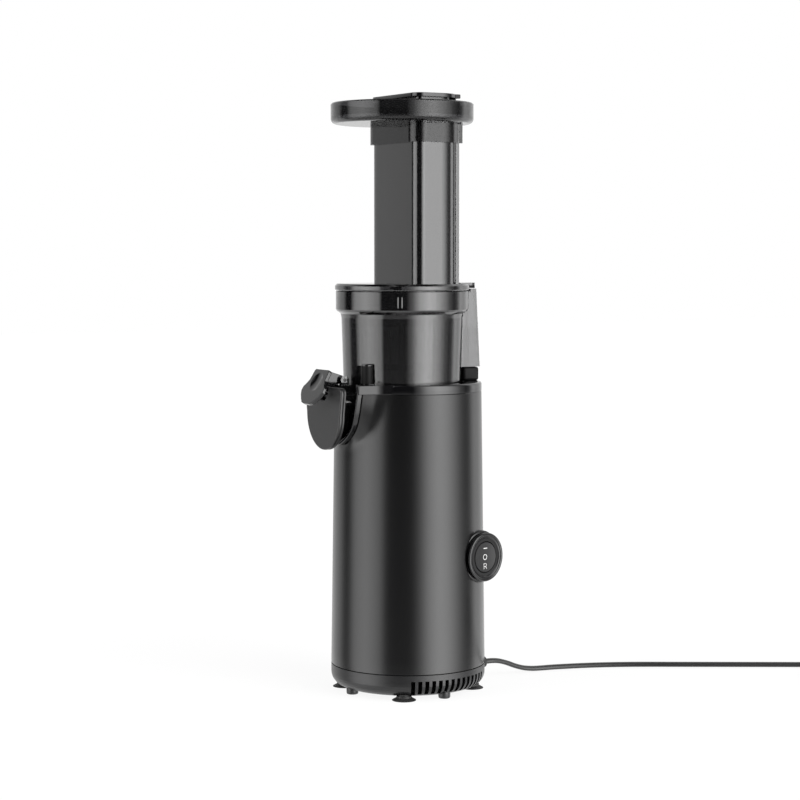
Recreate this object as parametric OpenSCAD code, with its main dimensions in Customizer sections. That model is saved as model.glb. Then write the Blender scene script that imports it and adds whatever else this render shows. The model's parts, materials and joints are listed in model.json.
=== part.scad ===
// Cold press juicer with a slim round base, a smoked juice bowl, a tall feed chute with its
// tray and pusher, a hinged juice cap and a planetary drive. Millimetres, +Z up, the origin
// on the table under the middle of the base. The juice spout points to -Y, the pulp spout to
// -X, and the bowl's column and the mains lead are at +Y.

/* [Base] */
// Radius of the base at its foot
base_r = 52; // [48:0.5:58]
// Radius of the base under the collar
base_top_r = 49.4; // [48.6:0.2:50.2]
// Height of the seam between base shell and base cap
cap_top_z = 17.6; // [16:0.4:22]
// Height of the joint between base shell and collar
collar_z = 202; // [200:1:216]
// Height of the glossy collar
collar_h = 6; // [5:0.5:8]
// Wall of the base shell
shell_wall = 2.2; // [1.8:0.1:2.6]
// Wall and floor of the base cap
cap_wall = 2.4; // [2:0.1:3]
// Free height under the base cap
ground_gap = 3; // [2.4:0.2:5]
// Radius of the bottom edge of the base cap
cap_edge_r = 9; // [7:0.5:10]
// Vent slots on each side of the base cap
vent_count = 14; // [8:1:16]
// Width of one vent slot
vent_w = 2.7; // [2:0.1:3]

/* [Feet] */
// Radius of a suction cup at the table
cup_r = 7.9; // [7:0.1:8.6]
// Radius of the circle of suction cups
cup_circle_r = 43.2; // [42:0.2:44]
// Radius of a moulded stub leg
leg_r = 3.5; // [3:0.1:4]

/* [Bowl] */
// Distance of the bowl's axis in front of the base's axis
bowl_shift = 4.6; // [4:0.1:5]
// Underside of the bowl
bowl_z = 170.5; // [169:0.5:174]
// Outer radius of the bowl at its underside
bowl_bottom_r = 38.6; // [38:0.1:38.8]
// Outer radius of the bowl's wall under the rim band
bowl_top_r = 40.7; // [40.2:0.1:41.2]
// Height of the bowl's rim
rim_z = 269; // [264:1:280]
// Height of the rim band
rim_h = 13; // [11:0.5:15]
// Outer radius of the rim band
rim_r = 44.4; // [44:0.1:45.4]
// Wall of the bowl
bowl_wall = 2; // [1.8:0.1:2.2]
// Height of the spouts' axis
spout_z = 188.5; // [187.5:0.5:190]
// Outer radius of the juice spout
spout_r = 16; // [14:0.5:16.5]

/* [Lid and chute] */
// Radius of the lid's flange
lid_r = 45; // [44.4:0.2:46]
// Thickness of the lid's flange
lid_t = 4.6; // [4.2:0.2:5.6]
// Width of the chute, side to side
chute_w = 62; // [56:1:66]
// Depth of the chute, front to back
chute_d = 36.4; // [33:0.5:38]
// Height of the chute's top
chute_top_z = 379.2; // [340:2:400]
// Wall of the chute
chute_wall = 2.6; // [2:0.2:3]
// Radius of the tray's rim
tray_r = 47.6; // [46:0.4:50]
// Height of the tray's dish
tray_h = 14; // [12:0.5:16]
// Height of the pusher's head
head_h = 5; // [4:0.5:7]

/* [Juice cap] */
// Half the width of the cap plate
plate_r = 22.4; // [20:0.4:23]
// Thickness of the cap plate
plate_t = 4; // [3.4:0.2:5]
// Widest opening of the juice cap in degrees
cap_open_deg = 95; // [60:5:95]

/* [Drive] */
// Module of the planetary gears
gear_module = 1; // [0.9:0.05:1]
// Teeth of the sun gear
sun_teeth = 12; // [12:3:12]
// Teeth of a planet gear
planet_teeth = 18; // [18:3:18]
// Face width of the gears
gear_h = 12; // [9:0.5:13]
// Outer radius of the motor can
motor_r = 33; // [31:0.5:34]
// Height of the motor can
motor_h = 72; // [64:1:76]
// Distance across the flats of the output hexagon
hex_flats = 10; // [9:0.2:10.6]

/* [Switch] */
// Height of the switch's centre
switch_z = 92; // [80:1:120]
// Radius of the switch's mounting pad
pad_r = 17; // [16:0.2:18]
// Radius of the rocker
rocker_r = 9.8; // [9:0.1:10.4]
// Tilt of the rocker each way in degrees
rocker_deg = 7; // [5:0.5:8]

/* [Clearances] */
// Gap between pieces that move past each other
move_gap = 0.3; // [0.25:0.01:0.35]
// Radial clearance of a running fit
run_gap = 0.05; // [0.03:0.01:0.08]
// Gap between curved pieces that are fixed together
fix_gap = 0.1; // [0.06:0.01:0.15]

/* [Hidden] */
$fn = 96;

// Overrun of a cut past the face that it leaves
cut = 1;

// Base: values that follow from the driving sizes
shell_h = collar_z - cap_top_z;
taper = (base_r - base_top_r) / shell_h;
shell_in_top_r = base_top_r - shell_wall;
floor_z = ground_gap + cap_wall;
lip_h = 3;
lip_t = 1.4;
front = -bowl_shift;

// Spout noses: a flat face with a flared skirt, revolved under the spout's axis
nose_r = plate_r + 0.2 * shell_wall;
nose_y = base_top_r + taper * (collar_z - spout_z + nose_r);
flare_share = 0.99;
flare_deg = atan2(nose_r, nose_y) + acos(flare_share * base_top_r / norm([nose_r, nose_y]));
flare_run = nose_y - flare_share * base_top_r * cos(flare_deg);
flare_out = flare_share * base_top_r * sin(flare_deg) - nose_r;
slot_r = nose_r - shell_wall;
ring_t = 4.1;

// Bowl and well
well_gap = 1.1;
well_r = bowl_bottom_r + well_gap;
well_wall = 1.8;
well_floor_t = 3;
well_top_z = bowl_z - move_gap;
bowl_in_r = bowl_top_r - bowl_wall;
band_wall = 2;
band_z = rim_z - rim_h;
collar_top_z = collar_z + collar_h;
bore_r = bowl_bottom_r + 1.5;
wall_at_collar_r = bowl_bottom_r + 0.8;
hub_r = 7.6;

// Column at the back of the bowl, with the interlock rod in it
column_w = 28;
column_foot_z = collar_top_z + 9;
column_top_z = rim_z + 1;
column_out_top = 45.1;
column_out_foot = 48;
rod_r = 1.6;
rod_y = 42.4;
rod_travel = 3;
rod_bottom_z = collar_z - 5.5;
lid_open_deg = 30;

// Drive train, hung under the floor of the well
housing_top_z = well_top_z - well_floor_t;
housing_h = 38;
housing_bottom_z = housing_top_z - housing_h;
housing_r = 40;
housing_wall = 7.6;
end_plate_t = 4;
motor_top_z = housing_bottom_z - end_plate_t;
motor_bottom_z = motor_top_z - motor_h;
ring_teeth = 2 * planet_teeth + sun_teeth;
sun_pitch_r = gear_module * sun_teeth / 2;
planet_pitch_r = gear_module * planet_teeth / 2;
ring_pitch_r = gear_module * ring_teeth / 2;
arm_r = sun_pitch_r + planet_pitch_r;
gear_z = housing_bottom_z + 3;
pin_r = 2;
shaft_r = 3;
out_r = 6.4;
out_top_z = bowl_z + 24;

// Lid, chute, tray and pusher, all on the bowl's axis
lid_top_z = rim_z + lid_t;
chute_front = 6.8;
chute_back_r = 17;
skirt_h = 12.6;
tray_top_z = chute_top_z + tray_h;
tray_wall = 2.2;
tray_floor_z = chute_top_z + tray_wall;
pusher_top_z = tray_top_z + 1.4 + head_h;

// The bowl's axis
module on_bowl() { translate([0, front, 0]) children(); }

// A box with its middle on the Z axis
module block(w, d, h) { translate([-w / 2, -d / 2, 0]) cube([w, d, h]); }

// A ring
module tube(r_out, r_in, h) {
  difference() {
    cylinder(r = r_out, h = h);
    translate([0, 0, -cut]) cylinder(r = r_in, h = h + 2 * cut);
  }
}

// A rod along -Y at the height of the spouts
module rod_front(r, from_y, to_y) {
  translate([0, from_y, spout_z]) rotate([90, 0, 0]) cylinder(r = r, h = from_y - to_y);
}

// The solid of the base's tapered wall, set in by the given distance
module taper_solid(inset, z0, z1) {
  translate([0, 0, z0]) cylinder(r1 = base_r - inset - taper * (z0 - cap_top_z),
    r2 = base_r - inset - taper * (z1 - cap_top_z), h = z1 - z0);
}

// A U with its round end down, from y0 to y1 along -Y, its straight top at top_z
module u_solid(r, y0, y1, top_z) {
  translate([0, y0, spout_z]) rotate([90, 0, 0]) linear_extrude(y0 - y1) {
    intersection() {
      circle(r = r);
      translate([-r, -r]) square([2 * r, r]);
    }
    translate([-r, 0]) square([2 * r, top_z - spout_z]);
  }
}

// Flared nose on the front of the base, set in by the given distance
module nose(inset) {
  y = nose_y - inset;
  r = nose_r - inset;
  back_y = y - flare_run;
  translate([0, 0, spout_z]) intersection() {
    rotate([90, 0, 0]) translate([0, 0, back_y]) cylinder(r1 = r + flare_out, r2 = r, h = flare_run);
    translate([-base_r, -base_r - ring_t, -base_r]) cube([2 * base_r, base_r + ring_t, base_r]);
  }
  translate([0, 0, spout_z]) linear_extrude(collar_z - spout_z)
    polygon([[-r, -y], [r, -y], [r + flare_out, -back_y], [-r - flare_out, -back_y]]);
}

module base_shell() {
  color([0.09, 0.09, 0.095]) difference() {
    union() {
      taper_solid(0, cap_top_z, collar_z);
      for (a = [0, -90]) rotate(a) nose(0);
      switch_boss(pad_r, 0);
    }
    difference() {
      union() {
        taper_solid(shell_wall, cap_top_z - cut, collar_z + cut);
        for (a = [0, -90]) rotate(a) translate([0, 0, cut]) nose(shell_wall);
      }
      switch_land();
    }
    for (a = [0, -90]) rotate(a) u_solid(slot_r, -base_top_r / 2, -nose_y - cut, collar_z + cut);
    switch_axis() translate([0, 0, base_r / 4]) cylinder(r = housing_sr + fix_gap, h = base_r);
    switch_axis() translate([0, 0, pad_face]) cylinder(r = pad_r - 0.8 + move_gap, h = base_r);
  }
}

// Glossy collar with a U-shaped trim ring round each spout
module collar_trim() {
  edge = 1.2;
  color([0.04, 0.04, 0.045]) difference() {
    union() {
      translate([0, 0, collar_z]) rotate_extrude() polygon([
        [0, 0], [base_top_r, 0], [base_top_r, collar_h - edge],
        [base_top_r - edge * 0.3, collar_h - edge * 0.3], [base_top_r - edge, collar_h], [0, collar_h]
      ]);
      for (a = [0, -90]) rotate(a) u_solid(nose_r, -nose_y, -nose_y - ring_t, collar_top_z);
      for (a = [0, -90]) rotate(a) translate([-nose_r, -nose_y - cut / 10, collar_z])
        cube([2 * nose_r, nose_y - shell_in_top_r + cut, collar_h]);
      translate([0, 0, collar_top_z - cut / 10]) intersection() {
        cylinder(r = base_top_r, h = column_foot_z - collar_top_z + cut / 10);
        translate([-column_w / 2, front + bore_r, 0]) cube([column_w, base_top_r, collar_top_z]);
      }
    }
    on_bowl() translate([0, 0, collar_z - cut]) cylinder(r = bore_r, h = 4 * collar_h);
    for (a = [0, -90]) rotate(a) u_solid(slot_r, 0, -nose_y - ring_t - cut, collar_top_z + cut);
    translate([0, rod_y, collar_z - cut]) cylinder(r = rod_r + move_gap, h = 6 * collar_h);
  }
}

// Liner that takes the bowl, with a flange at its top and a hub for the shaft seal
module bowl_well() {
  wall_r = well_r + well_wall;
  color([0.1, 0.1, 0.1]) difference() {
    union() {
      on_bowl() translate([0, 0, housing_top_z]) cylinder(r = wall_r, h = collar_z - housing_top_z);
      translate([0, 0, collar_z - 2 * well_wall]) cylinder(r = shell_in_top_r - fix_gap, h = 2 * well_wall);
    }
    on_bowl() translate([0, 0, well_top_z]) cylinder(r = well_r, h = collar_z);
    on_bowl() translate([0, 0, housing_top_z - cut]) cylinder(r = hub_r + fix_gap, h = collar_z);
    for (a = [0, -90]) rotate(a) u_solid(slot_r, 0, -base_r, collar_z + cut);
    translate([0, rod_y, collar_z - 4 * well_wall]) cylinder(r = rod_r + move_gap, h = 8 * well_wall);
    for (a = [45, 135, 225, 315]) on_bowl() rotate(a)
      translate([housing_r - housing_wall / 2, 0, housing_top_z - cut]) cylinder(r = screw_r, h = 2 * well_floor_t);
  }
}

// Cap: a round-edged cup with vents, four stub legs, a register lip and screw bosses
screw_r = 1.5;
boss_r = 3.6;
boss_place_r = base_r - 3 * boss_r;
module cap_outline(inset) {
  r = base_r - inset;
  e = cap_edge_r - inset;
  z0 = ground_gap + inset;
  polygon(concat([[0, z0]],
    [for (i = [0:8]) [r - e + e * sin(i * 11.25), z0 + e - e * cos(i * 11.25)]],
    [[r, cap_top_z], [0, cap_top_z]]));
}
relief_in_y = base_r - 12;
relief_flange_t = 3;
vent_pitch_deg = 5.2;
vent_start_deg = -26.2;
vent_low_z = 4.6;
vent_high_z = 13.8;
leg_deg = 3;
cup_deg = 56.6;
module base_cap() {
  color([0.08, 0.08, 0.085]) difference() {
    union() {
      difference() {
        rotate_extrude() cap_outline(0);
        rotate_extrude() union() {
          cap_outline(cap_wall);
          translate([0, cap_top_z - cut]) square([base_r - cap_wall, 2 * cut]);
        }
      }
      translate([0, 0, cap_top_z - lip_h])
        tube(base_r - shell_wall - fix_gap, base_r - shell_wall - fix_gap - lip_t, 2 * lip_h);
      for (q = [0:3]) {
        rotate(leg_deg + 90 * q - 90) translate([cup_circle_r + 1, 0, 0]) stub_leg();
        rotate(leg_deg + 45 + 90 * q) translate([boss_place_r, 0, floor_z - cut]) cylinder(r = boss_r, h = cap_top_z - floor_z);
        rotate(45 + 90 * q) translate([board_post_r, 0, floor_z - cut]) cylinder(r = boss_r * 0.7, h = board_z - floor_z + cut);
      }
    }
    for (side = [0, 180], i = [0:vent_count - 1]) rotate(side + vent_start_deg + i * vent_pitch_deg)
      translate([base_r - cap_edge_r - cap_wall, -vent_w / 2, vent_low_z]) cube([2 * cap_edge_r, vent_w, vent_high_z - vent_low_z]);
    for (q = [0:3]) {
      rotate(leg_deg + 45 + 90 * q) translate([boss_place_r, 0, 0]) cylinder(r = screw_r + fix_gap, h = 2 * cap_top_z);
      rotate(leg_deg + 45 + 90 * q) translate([boss_place_r, 0, 0]) cylinder(r = 2 * screw_r + fix_gap, h = ground_gap + screw_r);
      rotate(cup_deg + 90 * q - 90) translate([cup_circle_r, 0, 0]) cylinder(r = cup_neck_r + fix_gap, h = cap_top_z / 2);
    }
    translate([0, 0, cord_z]) rotate([-90, 0, 0]) cylinder(r = relief_neck_r + fix_gap, h = 2 * base_r);
    translate([0, relief_in_y - fix_gap, cord_z]) rotate([-90, 0, 0]) cylinder(r = relief_r + fix_gap, h = relief_flange_t + 2 * fix_gap);
  }
}
module stub_leg() {
  tip = leg_r;
  translate([0, 0, ground_gap / 6 + tip]) sphere(r = leg_r);
  translate([0, 0, ground_gap / 6 + tip]) cylinder(r = leg_r, h = floor_z - ground_gap / 6 - tip);
}

// Screws that hold the cap, their heads sunk in its underside
module cap_screws() {
  color([0.6, 0.6, 0.62]) for (q = [0:3]) rotate(leg_deg + 45 + 90 * q) translate([boss_place_r, 0, ground_gap]) {
    difference() {
      cylinder(r = 2 * screw_r, h = screw_r);
      translate([0, 0, -cut]) cylinder(r = screw_r, h = cut + screw_r / 2, $fn = 6);
    }
    cylinder(r = screw_r, h = cap_top_z - ground_gap - 0.5);
  }
}

// Suction cups with a neck that snaps into the cap
cup_neck_r = 3.4;
cup_h = 2.4;
module suction_feet() {
  skirt = 0.8;
  color([0.07, 0.07, 0.07]) for (q = [0:3]) rotate(cup_deg + 90 * q - 90) translate([cup_circle_r, 0, 0])
    rotate_extrude() polygon([
      [0, cup_h * 0.5], [cup_r * 0.45, cup_h * 0.4], [cup_r - skirt, 0], [cup_r, 0], [cup_r, skirt * 0.4],
      [cup_neck_r + 1.8, cup_h * 0.75], [cup_neck_r + 1.6, ground_gap - fix_gap],
      [cup_neck_r, ground_gap - fix_gap], [cup_neck_r, floor_z + cup_h], [0, floor_z + cup_h]
    ]);
}

// Motor: a can hung from its end plate, with a laminated stator, brushes and bearings
can_wall = 1.5;
bearing_r = 8;
bearing_h = 6;
module motor_can() {
  color([0.5, 0.5, 0.52]) translate([0, front, motor_bottom_z]) difference() {
    cylinder(r = motor_r, h = motor_h);
    translate([0, 0, can_wall]) cylinder(r = motor_r - can_wall, h = motor_h);
    translate([0, 0, -cut]) cylinder(r = bearing_r + fix_gap, h = 3 * cut);
    for (a = [0:45:315]) rotate(a) translate([motor_r * 0.62, 0, -cut]) cylinder(r = motor_r / 8, h = 3 * cut);
  }
}

stator_h = 36;
stator_z = motor_bottom_z + 20;
rotor_r = 19;
module motor_stator() {
  color([0.35, 0.33, 0.3]) translate([0, front, stator_z]) difference() {
    cylinder(r = motor_r - can_wall - fix_gap, h = stator_h);
    translate([0, 0, -cut]) cylinder(r = rotor_r + move_gap, h = stator_h + 2 * cut);
    for (a = [0, 180]) rotate(a) translate([motor_r - 3 * can_wall, -can_wall, -cut])
      cube([motor_r, 2 * can_wall, stator_h + 2 * cut]);
  }
}

module motor_end_plate() {
  color([0.55, 0.55, 0.57]) translate([0, front, motor_top_z]) difference() {
    cylinder(r = housing_r + 2, h = end_plate_t);
    translate([0, 0, -cut]) cylinder(r = bearing_r + fix_gap, h = end_plate_t + 2 * cut);
    for (a = [45:90:315]) rotate(a) translate([housing_r - housing_wall / 2, 0, -cut])
      cylinder(r = screw_r + fix_gap, h = end_plate_t + 2 * cut);
  }
}

// Two plain bearings for the motor shaft
module motor_bearings() {
  color([0.72, 0.6, 0.35]) for (z = [motor_bottom_z - 1, motor_top_z - 1])
    translate([0, front, z]) {
      tube(bearing_r, shaft_r + run_gap, bearing_h - 1);
      if (z < motor_top_z - 1) translate([0, 0, 1 + can_wall])
        tube(bearing_r + 2, bearing_r - 1, bearing_h / 2);
    }
}

brush_r = 9;
module carbon_brushes() {
  w = 4;
  color([0.2, 0.2, 0.2]) for (a = [0, 180]) rotate(0) translate([0, front, motor_bottom_z + 12])
    rotate(a) translate([brush_r + move_gap, -w / 2, 0]) cube([motor_r - can_wall - fix_gap - brush_r - move_gap, w, w]);
}

// Shaft with its laminated core, windings and commutator
module motor_rotor() {
  color([0.6, 0.4, 0.25]) translate([0, front, 0]) {
    translate([0, 0, motor_bottom_z - 16]) cylinder(r = shaft_r, h = gear_z + gear_h - motor_bottom_z + 16);
    translate([0, 0, stator_z]) difference() {
      cylinder(r = rotor_r, h = stator_h);
      for (a = [0:30:330]) rotate(a) translate([rotor_r * 0.72, -can_wall / 2, -cut])
        cube([rotor_r, can_wall, stator_h + 2 * cut]);
    }
    for (z = [stator_z - 4, stator_z + stator_h - cut]) translate([0, 0, z]) cylinder(r = rotor_r * 0.85, h = 5);
    translate([0, 0, motor_bottom_z + 9]) cylinder(r = brush_r, h = 10);
  }
}

// Cooling fan under the motor
blade_count = 9;
fan_r = 30;
fan_h = 8;
fan_z = motor_bottom_z - 14;
module motor_fan() {
  blade_t = 1.4;
  color([0.15, 0.15, 0.16]) translate([0, front, fan_z]) difference() {
    union() {
      cylinder(r = fan_r, h = blade_t);
      cylinder(r = 3 * shaft_r, h = fan_h);
      for (i = [0:blade_count - 1]) rotate(i * 360 / blade_count)
        translate([2 * shaft_r, -blade_t / 2, 0]) rotate(12) cube([fan_r * 0.72, blade_t, fan_h - 1]);
    }
    translate([0, 0, -cut]) cylinder(r = shaft_r + fix_gap, h = fan_h + 2 * cut);
  }
}

// Involute profile: half of the tooth's angle at radius r
pressure_deg = 25;
backlash_share = 0.1;
function inv_deg(a) = tan(a) * 180 / PI - a;
function half_deg(n, r, slack) = let (rp = gear_module * n / 2, rb = rp * cos(pressure_deg))
  90 / n * (1 - slack) + inv_deg(pressure_deg) - inv_deg(acos(rb / max(r, rb)));
function gear_points(n, radii, slack) = [
  for (i = [0:n - 1], s = [-1, 1], k = [0:3])
    let (r = radii[s < 0 ? k : 3 - k], a = 360 * i / n + s * half_deg(n, r, slack)) [r * cos(a), r * sin(a)]
];
addendum = 0.95 * gear_module;
dedendum = 1.2 * gear_module;
function outer_radii(n) = let (rp = gear_module * n / 2)
  [rp - dedendum, rp - 0.45 * gear_module, rp + 0.2 * gear_module, rp + addendum];
module gear(n) { polygon(gear_points(n, outer_radii(n), backlash_share)); }

module sun_gear() {
  color([0.65, 0.65, 0.67]) translate([0, front, gear_z]) difference() {
    linear_extrude(gear_h) gear(sun_teeth);
    translate([0, 0, -cut]) cylinder(r = shaft_r + fix_gap / 2, h = gear_h + 2 * cut);
  }
}

module planet_gear(i) {
  color([0.85, 0.84, 0.78]) translate([0, front, gear_z]) rotate(120 * i) translate([arm_r, 0, 0]) difference() {
    union() {
      rotate(180 / planet_teeth) linear_extrude(gear_h) gear(planet_teeth);
      translate([0, 0, gear_h - cut]) cylinder(r = 2 * pin_r, h = cut + 0.6);
    }
    translate([0, 0, -cut]) cylinder(r = pin_r + run_gap, h = gear_h + 3 * cut);
  }
}
module planet_gear_1() { planet_gear(0); }
module planet_gear_2() { planet_gear(1); }
module planet_gear_3() { planet_gear(2); }

module ring_gear() {
  r = ring_pitch_r;
  color([0.85, 0.84, 0.78]) translate([0, front, gear_z]) difference() {
    cylinder(r = housing_r - housing_wall - fix_gap, h = gear_h);
    rotate(180 / ring_teeth) translate([0, 0, -cut]) linear_extrude(gear_h + 2 * cut) polygon(gear_points(ring_teeth,
      [r - addendum, r - 0.2 * gear_module, r + 0.45 * gear_module, r + dedendum], -backlash_share));
  }
}

// Carrier plate above the planets, its shaft ending in the hexagon that turns the auger
carrier_z = gear_z + gear_h + 0.8;
carrier_t = 4.6;
module planet_carrier() {
  color([0.6, 0.6, 0.62]) translate([0, front, 0]) difference() {
    union() {
      translate([0, 0, carrier_z]) cylinder(r = arm_r + 3 * pin_r, h = carrier_t);
      translate([0, 0, carrier_z]) cylinder(r = out_r, h = well_top_z - carrier_z);
      translate([0, 0, carrier_z]) cylinder(r = hex_flats / sqrt(3), h = out_top_z - carrier_z, $fn = 6);
    }
    for (i = [0:2]) rotate(120 * i) translate([arm_r, 0, carrier_z - cut])
      cylinder(r = pin_r + fix_gap / 2, h = carrier_t + 2 * cut);
  }
}
module planet_pins() {
  color([0.7, 0.7, 0.72]) translate([0, front, 0]) for (i = [0:2]) rotate(120 * i) translate([arm_r, 0, gear_z - 0.5])
    cylinder(r = pin_r, h = carrier_z + carrier_t - gear_z);
}

bush_r = out_r + 2.4;
module gear_housing() {
  color([0.2, 0.2, 0.21]) translate([0, front, housing_bottom_z]) difference() {
    cylinder(r = housing_r, h = housing_h);
    translate([0, 0, -cut]) cylinder(r = housing_r - housing_wall, h = housing_h - 2 * housing_wall + cut);
    cylinder(r = bush_r + fix_gap, h = housing_h + cut);
    for (a = [45:90:315]) rotate(a) translate([housing_r - housing_wall / 2, 0, -cut])
      cylinder(r = screw_r + fix_gap, h = housing_h + 2 * cut);
  }
}
module gearbox_screws() {
  color([0.6, 0.6, 0.62]) translate([0, front, motor_top_z]) for (a = [45:90:315]) rotate(a)
    translate([housing_r - housing_wall / 2, 0, 0]) {
      translate([0, 0, -screw_r]) cylinder(r = 2 * screw_r, h = screw_r);
      cylinder(r = screw_r, h = housing_h + end_plate_t);
    }
}
module output_bush() {
  color([0.72, 0.6, 0.35]) translate([0, front, housing_top_z - 2 * housing_wall])
    tube(bush_r, out_r + run_gap, 2 * housing_wall);
}
module shaft_seal() {
  color([0.12, 0.12, 0.12]) translate([0, front, housing_top_z])
    tube(hub_r, out_r + run_gap, well_floor_t);
}

// Control board on the cap's posts, with its larger parts
board_w = 54;
board_d = 46;
board_t = 1.6;
board_z = 10;
board_post_r = 29;
module circuit_board() {
  color([0.1, 0.35, 0.15]) translate([0, 0, board_z]) {
    block(board_w, board_d, board_t);
    translate([-14, -8, 0]) cylinder(r = 6, h = 9);
    translate([12, -10, 0]) block(16, 12, 8);
    translate([10, 12, 0]) block(18, 8, 7);
    translate([-14, 12, 0]) block(12, 5, 9);
  }
}

// Microswitch that the interlock rod presses when the lid is locked
micro_h = 11;
module microswitch() {
  z = rod_bottom_z - micro_h;
  color([0.1, 0.1, 0.1]) translate([0, rod_y, z - 1]) {
    block(20, 6, micro_h);
    for (x = [-7, 0, 7]) translate([x, 0, -4]) block(3, 0.8, 5);
    translate([-4, 0, micro_h - cut]) cylinder(r = 1, h = cut + 0.8);
    translate([0, shell_in_top_r - rod_y - 2.3, 0]) block(12, 3.4, micro_h);
  }
}

// Round rocker switch: a mounting pad with its own axis, not through the base's axis
switch_deg = 15;
switch_side = 20.4;
pad_face = 47.9;
switch_face = 52.6;
pivot = 47.4;
housing_sr = 12.6;
lip = 1.2;
terminal_w = 5;
module switch_axis() {
  rotate(switch_deg) translate([0, switch_side, switch_z]) rotate([0, 90, 0]) children();
}
module switch_boss(r, back) {
  switch_axis() translate([0, 0, base_r / 2]) cylinder(r = r, h = pad_face - back - base_r / 2);
}
module switch_land() {
  switch_axis() translate([0, 0, pad_face - 2 * shell_wall]) cylinder(r = pad_r, h = 2 * shell_wall);
}
module switch_bezel() {
  color([0.05, 0.05, 0.055]) switch_axis() rotate_extrude() polygon([
    [housing_sr + fix_gap, pad_face], [pad_r - 1.8, pad_face], [pad_r - 1.8, pad_face + 1],
    [pad_r - 0.8, pad_face + 1], [pad_r - 0.8, switch_face - 2], [pad_r - 1.8, switch_face - 1],
    [housing_sr + fix_gap, switch_face - 1]
  ]);
}
module switch_housing() {
  color([0.06, 0.06, 0.065]) switch_axis() difference() {
    union() {
      translate([0, 0, pad_face - 14]) cylinder(r = housing_sr, h = switch_face - 0.2 - pad_face + 14);
      for (x = [-7, 0, 7]) translate([x, 0, pad_face - 22]) block(0.8, terminal_w, 9);
    }
    translate([0, 0, pivot - 4]) cylinder(r = housing_sr - lip, h = 8);
    translate([0, 0, pivot]) cylinder(r = rocker_r + 0.8, h = pad_face);
    for (a = [0, 180]) rotate(a) translate([0, 0, pivot]) rotate([90, 0, 0])
      cylinder(r = 1.2 + run_gap, h = 2 * housing_sr);
  }
}
module rocker() {
  rise = switch_face + 0.2 - pivot;
  r = sqrt(rocker_r * rocker_r + rise * rise);
  color([0.05, 0.05, 0.055]) switch_axis() translate([0, 0, pivot]) {
    difference() {
      intersection() {
        sphere(r = r);
        translate([0, 0, -1.6]) cylinder(r = 2 * r, h = rise + 1.6);
      }
      translate([0, 0, rise + 9 * rocker_r]) sphere(r = 9 * rocker_r + 0.7);
    }
    rotate([90, 0, 0]) translate([0, 0, -housing_sr + 0.2]) cylinder(r = 1.2, h = 2 * housing_sr - 0.4);
  }
}

// Mains lead: its route is a list of points, then a coil of two layers, then the plug
cord_w = 5.6;
cord_t = 3.4;
cord_z = 11.5;
relief_r = 5.2;
relief_neck_r = 4.3;
relief_end_y = 61;
lie_z = 2;
route = [
  [0, 61, 11.5], [0, 67, 11.5], [-0.5, 73, 10.7], [-1, 80, 8.6], [-1.5, 87, 5.8], [-2, 94, 3.6],
  [-2, 101, 2.4], [-1.5, 108, 2], [0, 118, 2], [3, 130, 2], [7, 143, 2], [12, 156, 2], [18, 169, 2],
  [25, 182, 2], [32, 194, 2], [39, 206, 2], [46, 218, 2], [53, 230, 2], [60, 242, 2], [67, 254, 2],
  [74, 266, 2], [81, 278, 2], [88, 290, 2], [95, 302, 2]
];
module strain_relief() {
  y0 = relief_in_y;
  color([0.06, 0.06, 0.06]) translate([0, y0, cord_z]) rotate([-90, 0, 0]) difference() {
    rotate_extrude() polygon([
      [0, 0], [relief_r, 0], [relief_r, relief_flange_t], [relief_neck_r, relief_flange_t], [relief_neck_r, 12.4],
      [relief_r, 12.4], [relief_r, 14], [relief_r * 0.72, relief_end_y - y0], [0, relief_end_y - y0]
    ]);
    for (y = [16, 18.2], a = [0, 180]) rotate(a) translate([relief_r * 0.62, -relief_r, y])
      cube([relief_r, 2 * relief_r, 0.9]);
  }
}

// Flat tube swept along points: the section's wide side lies level
function unit(v) = v / norm(v);
function tangent(p, i) = unit(p[min(i + 1, len(p) - 1)] - p[max(i - 1, 0)]);
function ring(p, i, w, t, n) = let (d = tangent(p, i), side = unit(cross(d, [0, 0, 1])), up = cross(side, d))
  [for (k = [0:n - 1]) p[i] + side * w / 2 * cos(360 * (k + 0.5) / n) + up * t / 2 * sin(360 * (k + 0.5) / n)];
module flat_tube(p, w, t, n) {
  m = len(p);
  points = [for (i = [0:m - 1]) each ring(p, i, w, t, n)];
  faces = concat([[for (k = [0:n - 1]) k]], [[for (k = [n - 1:-1:0]) (m - 1) * n + k]],
    [for (i = [0:m - 2], k = [0:n - 1]) let (a = i * n + k, b = i * n + (k + 1) % n) [a, a + n, b + n]],
    [for (i = [0:m - 2], k = [0:n - 1]) let (a = i * n + k, b = i * n + (k + 1) % n) [a, b + n, b]]);
  polyhedron(points, faces);
}

coil_out_r = 40;
coil_pitch = 6.1;
coil_turns = 3;
turn_steps = 24;
climb_turns = 0.4;
climb_h = 4.1;
end_pt = route[len(route) - 1];
end_dir = unit(end_pt - route[len(route) - 2]);
end_side = cross(end_dir, [0, 0, 1]);
coil_mid = end_pt + end_dir * cord_w + end_side * coil_out_r;
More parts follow.
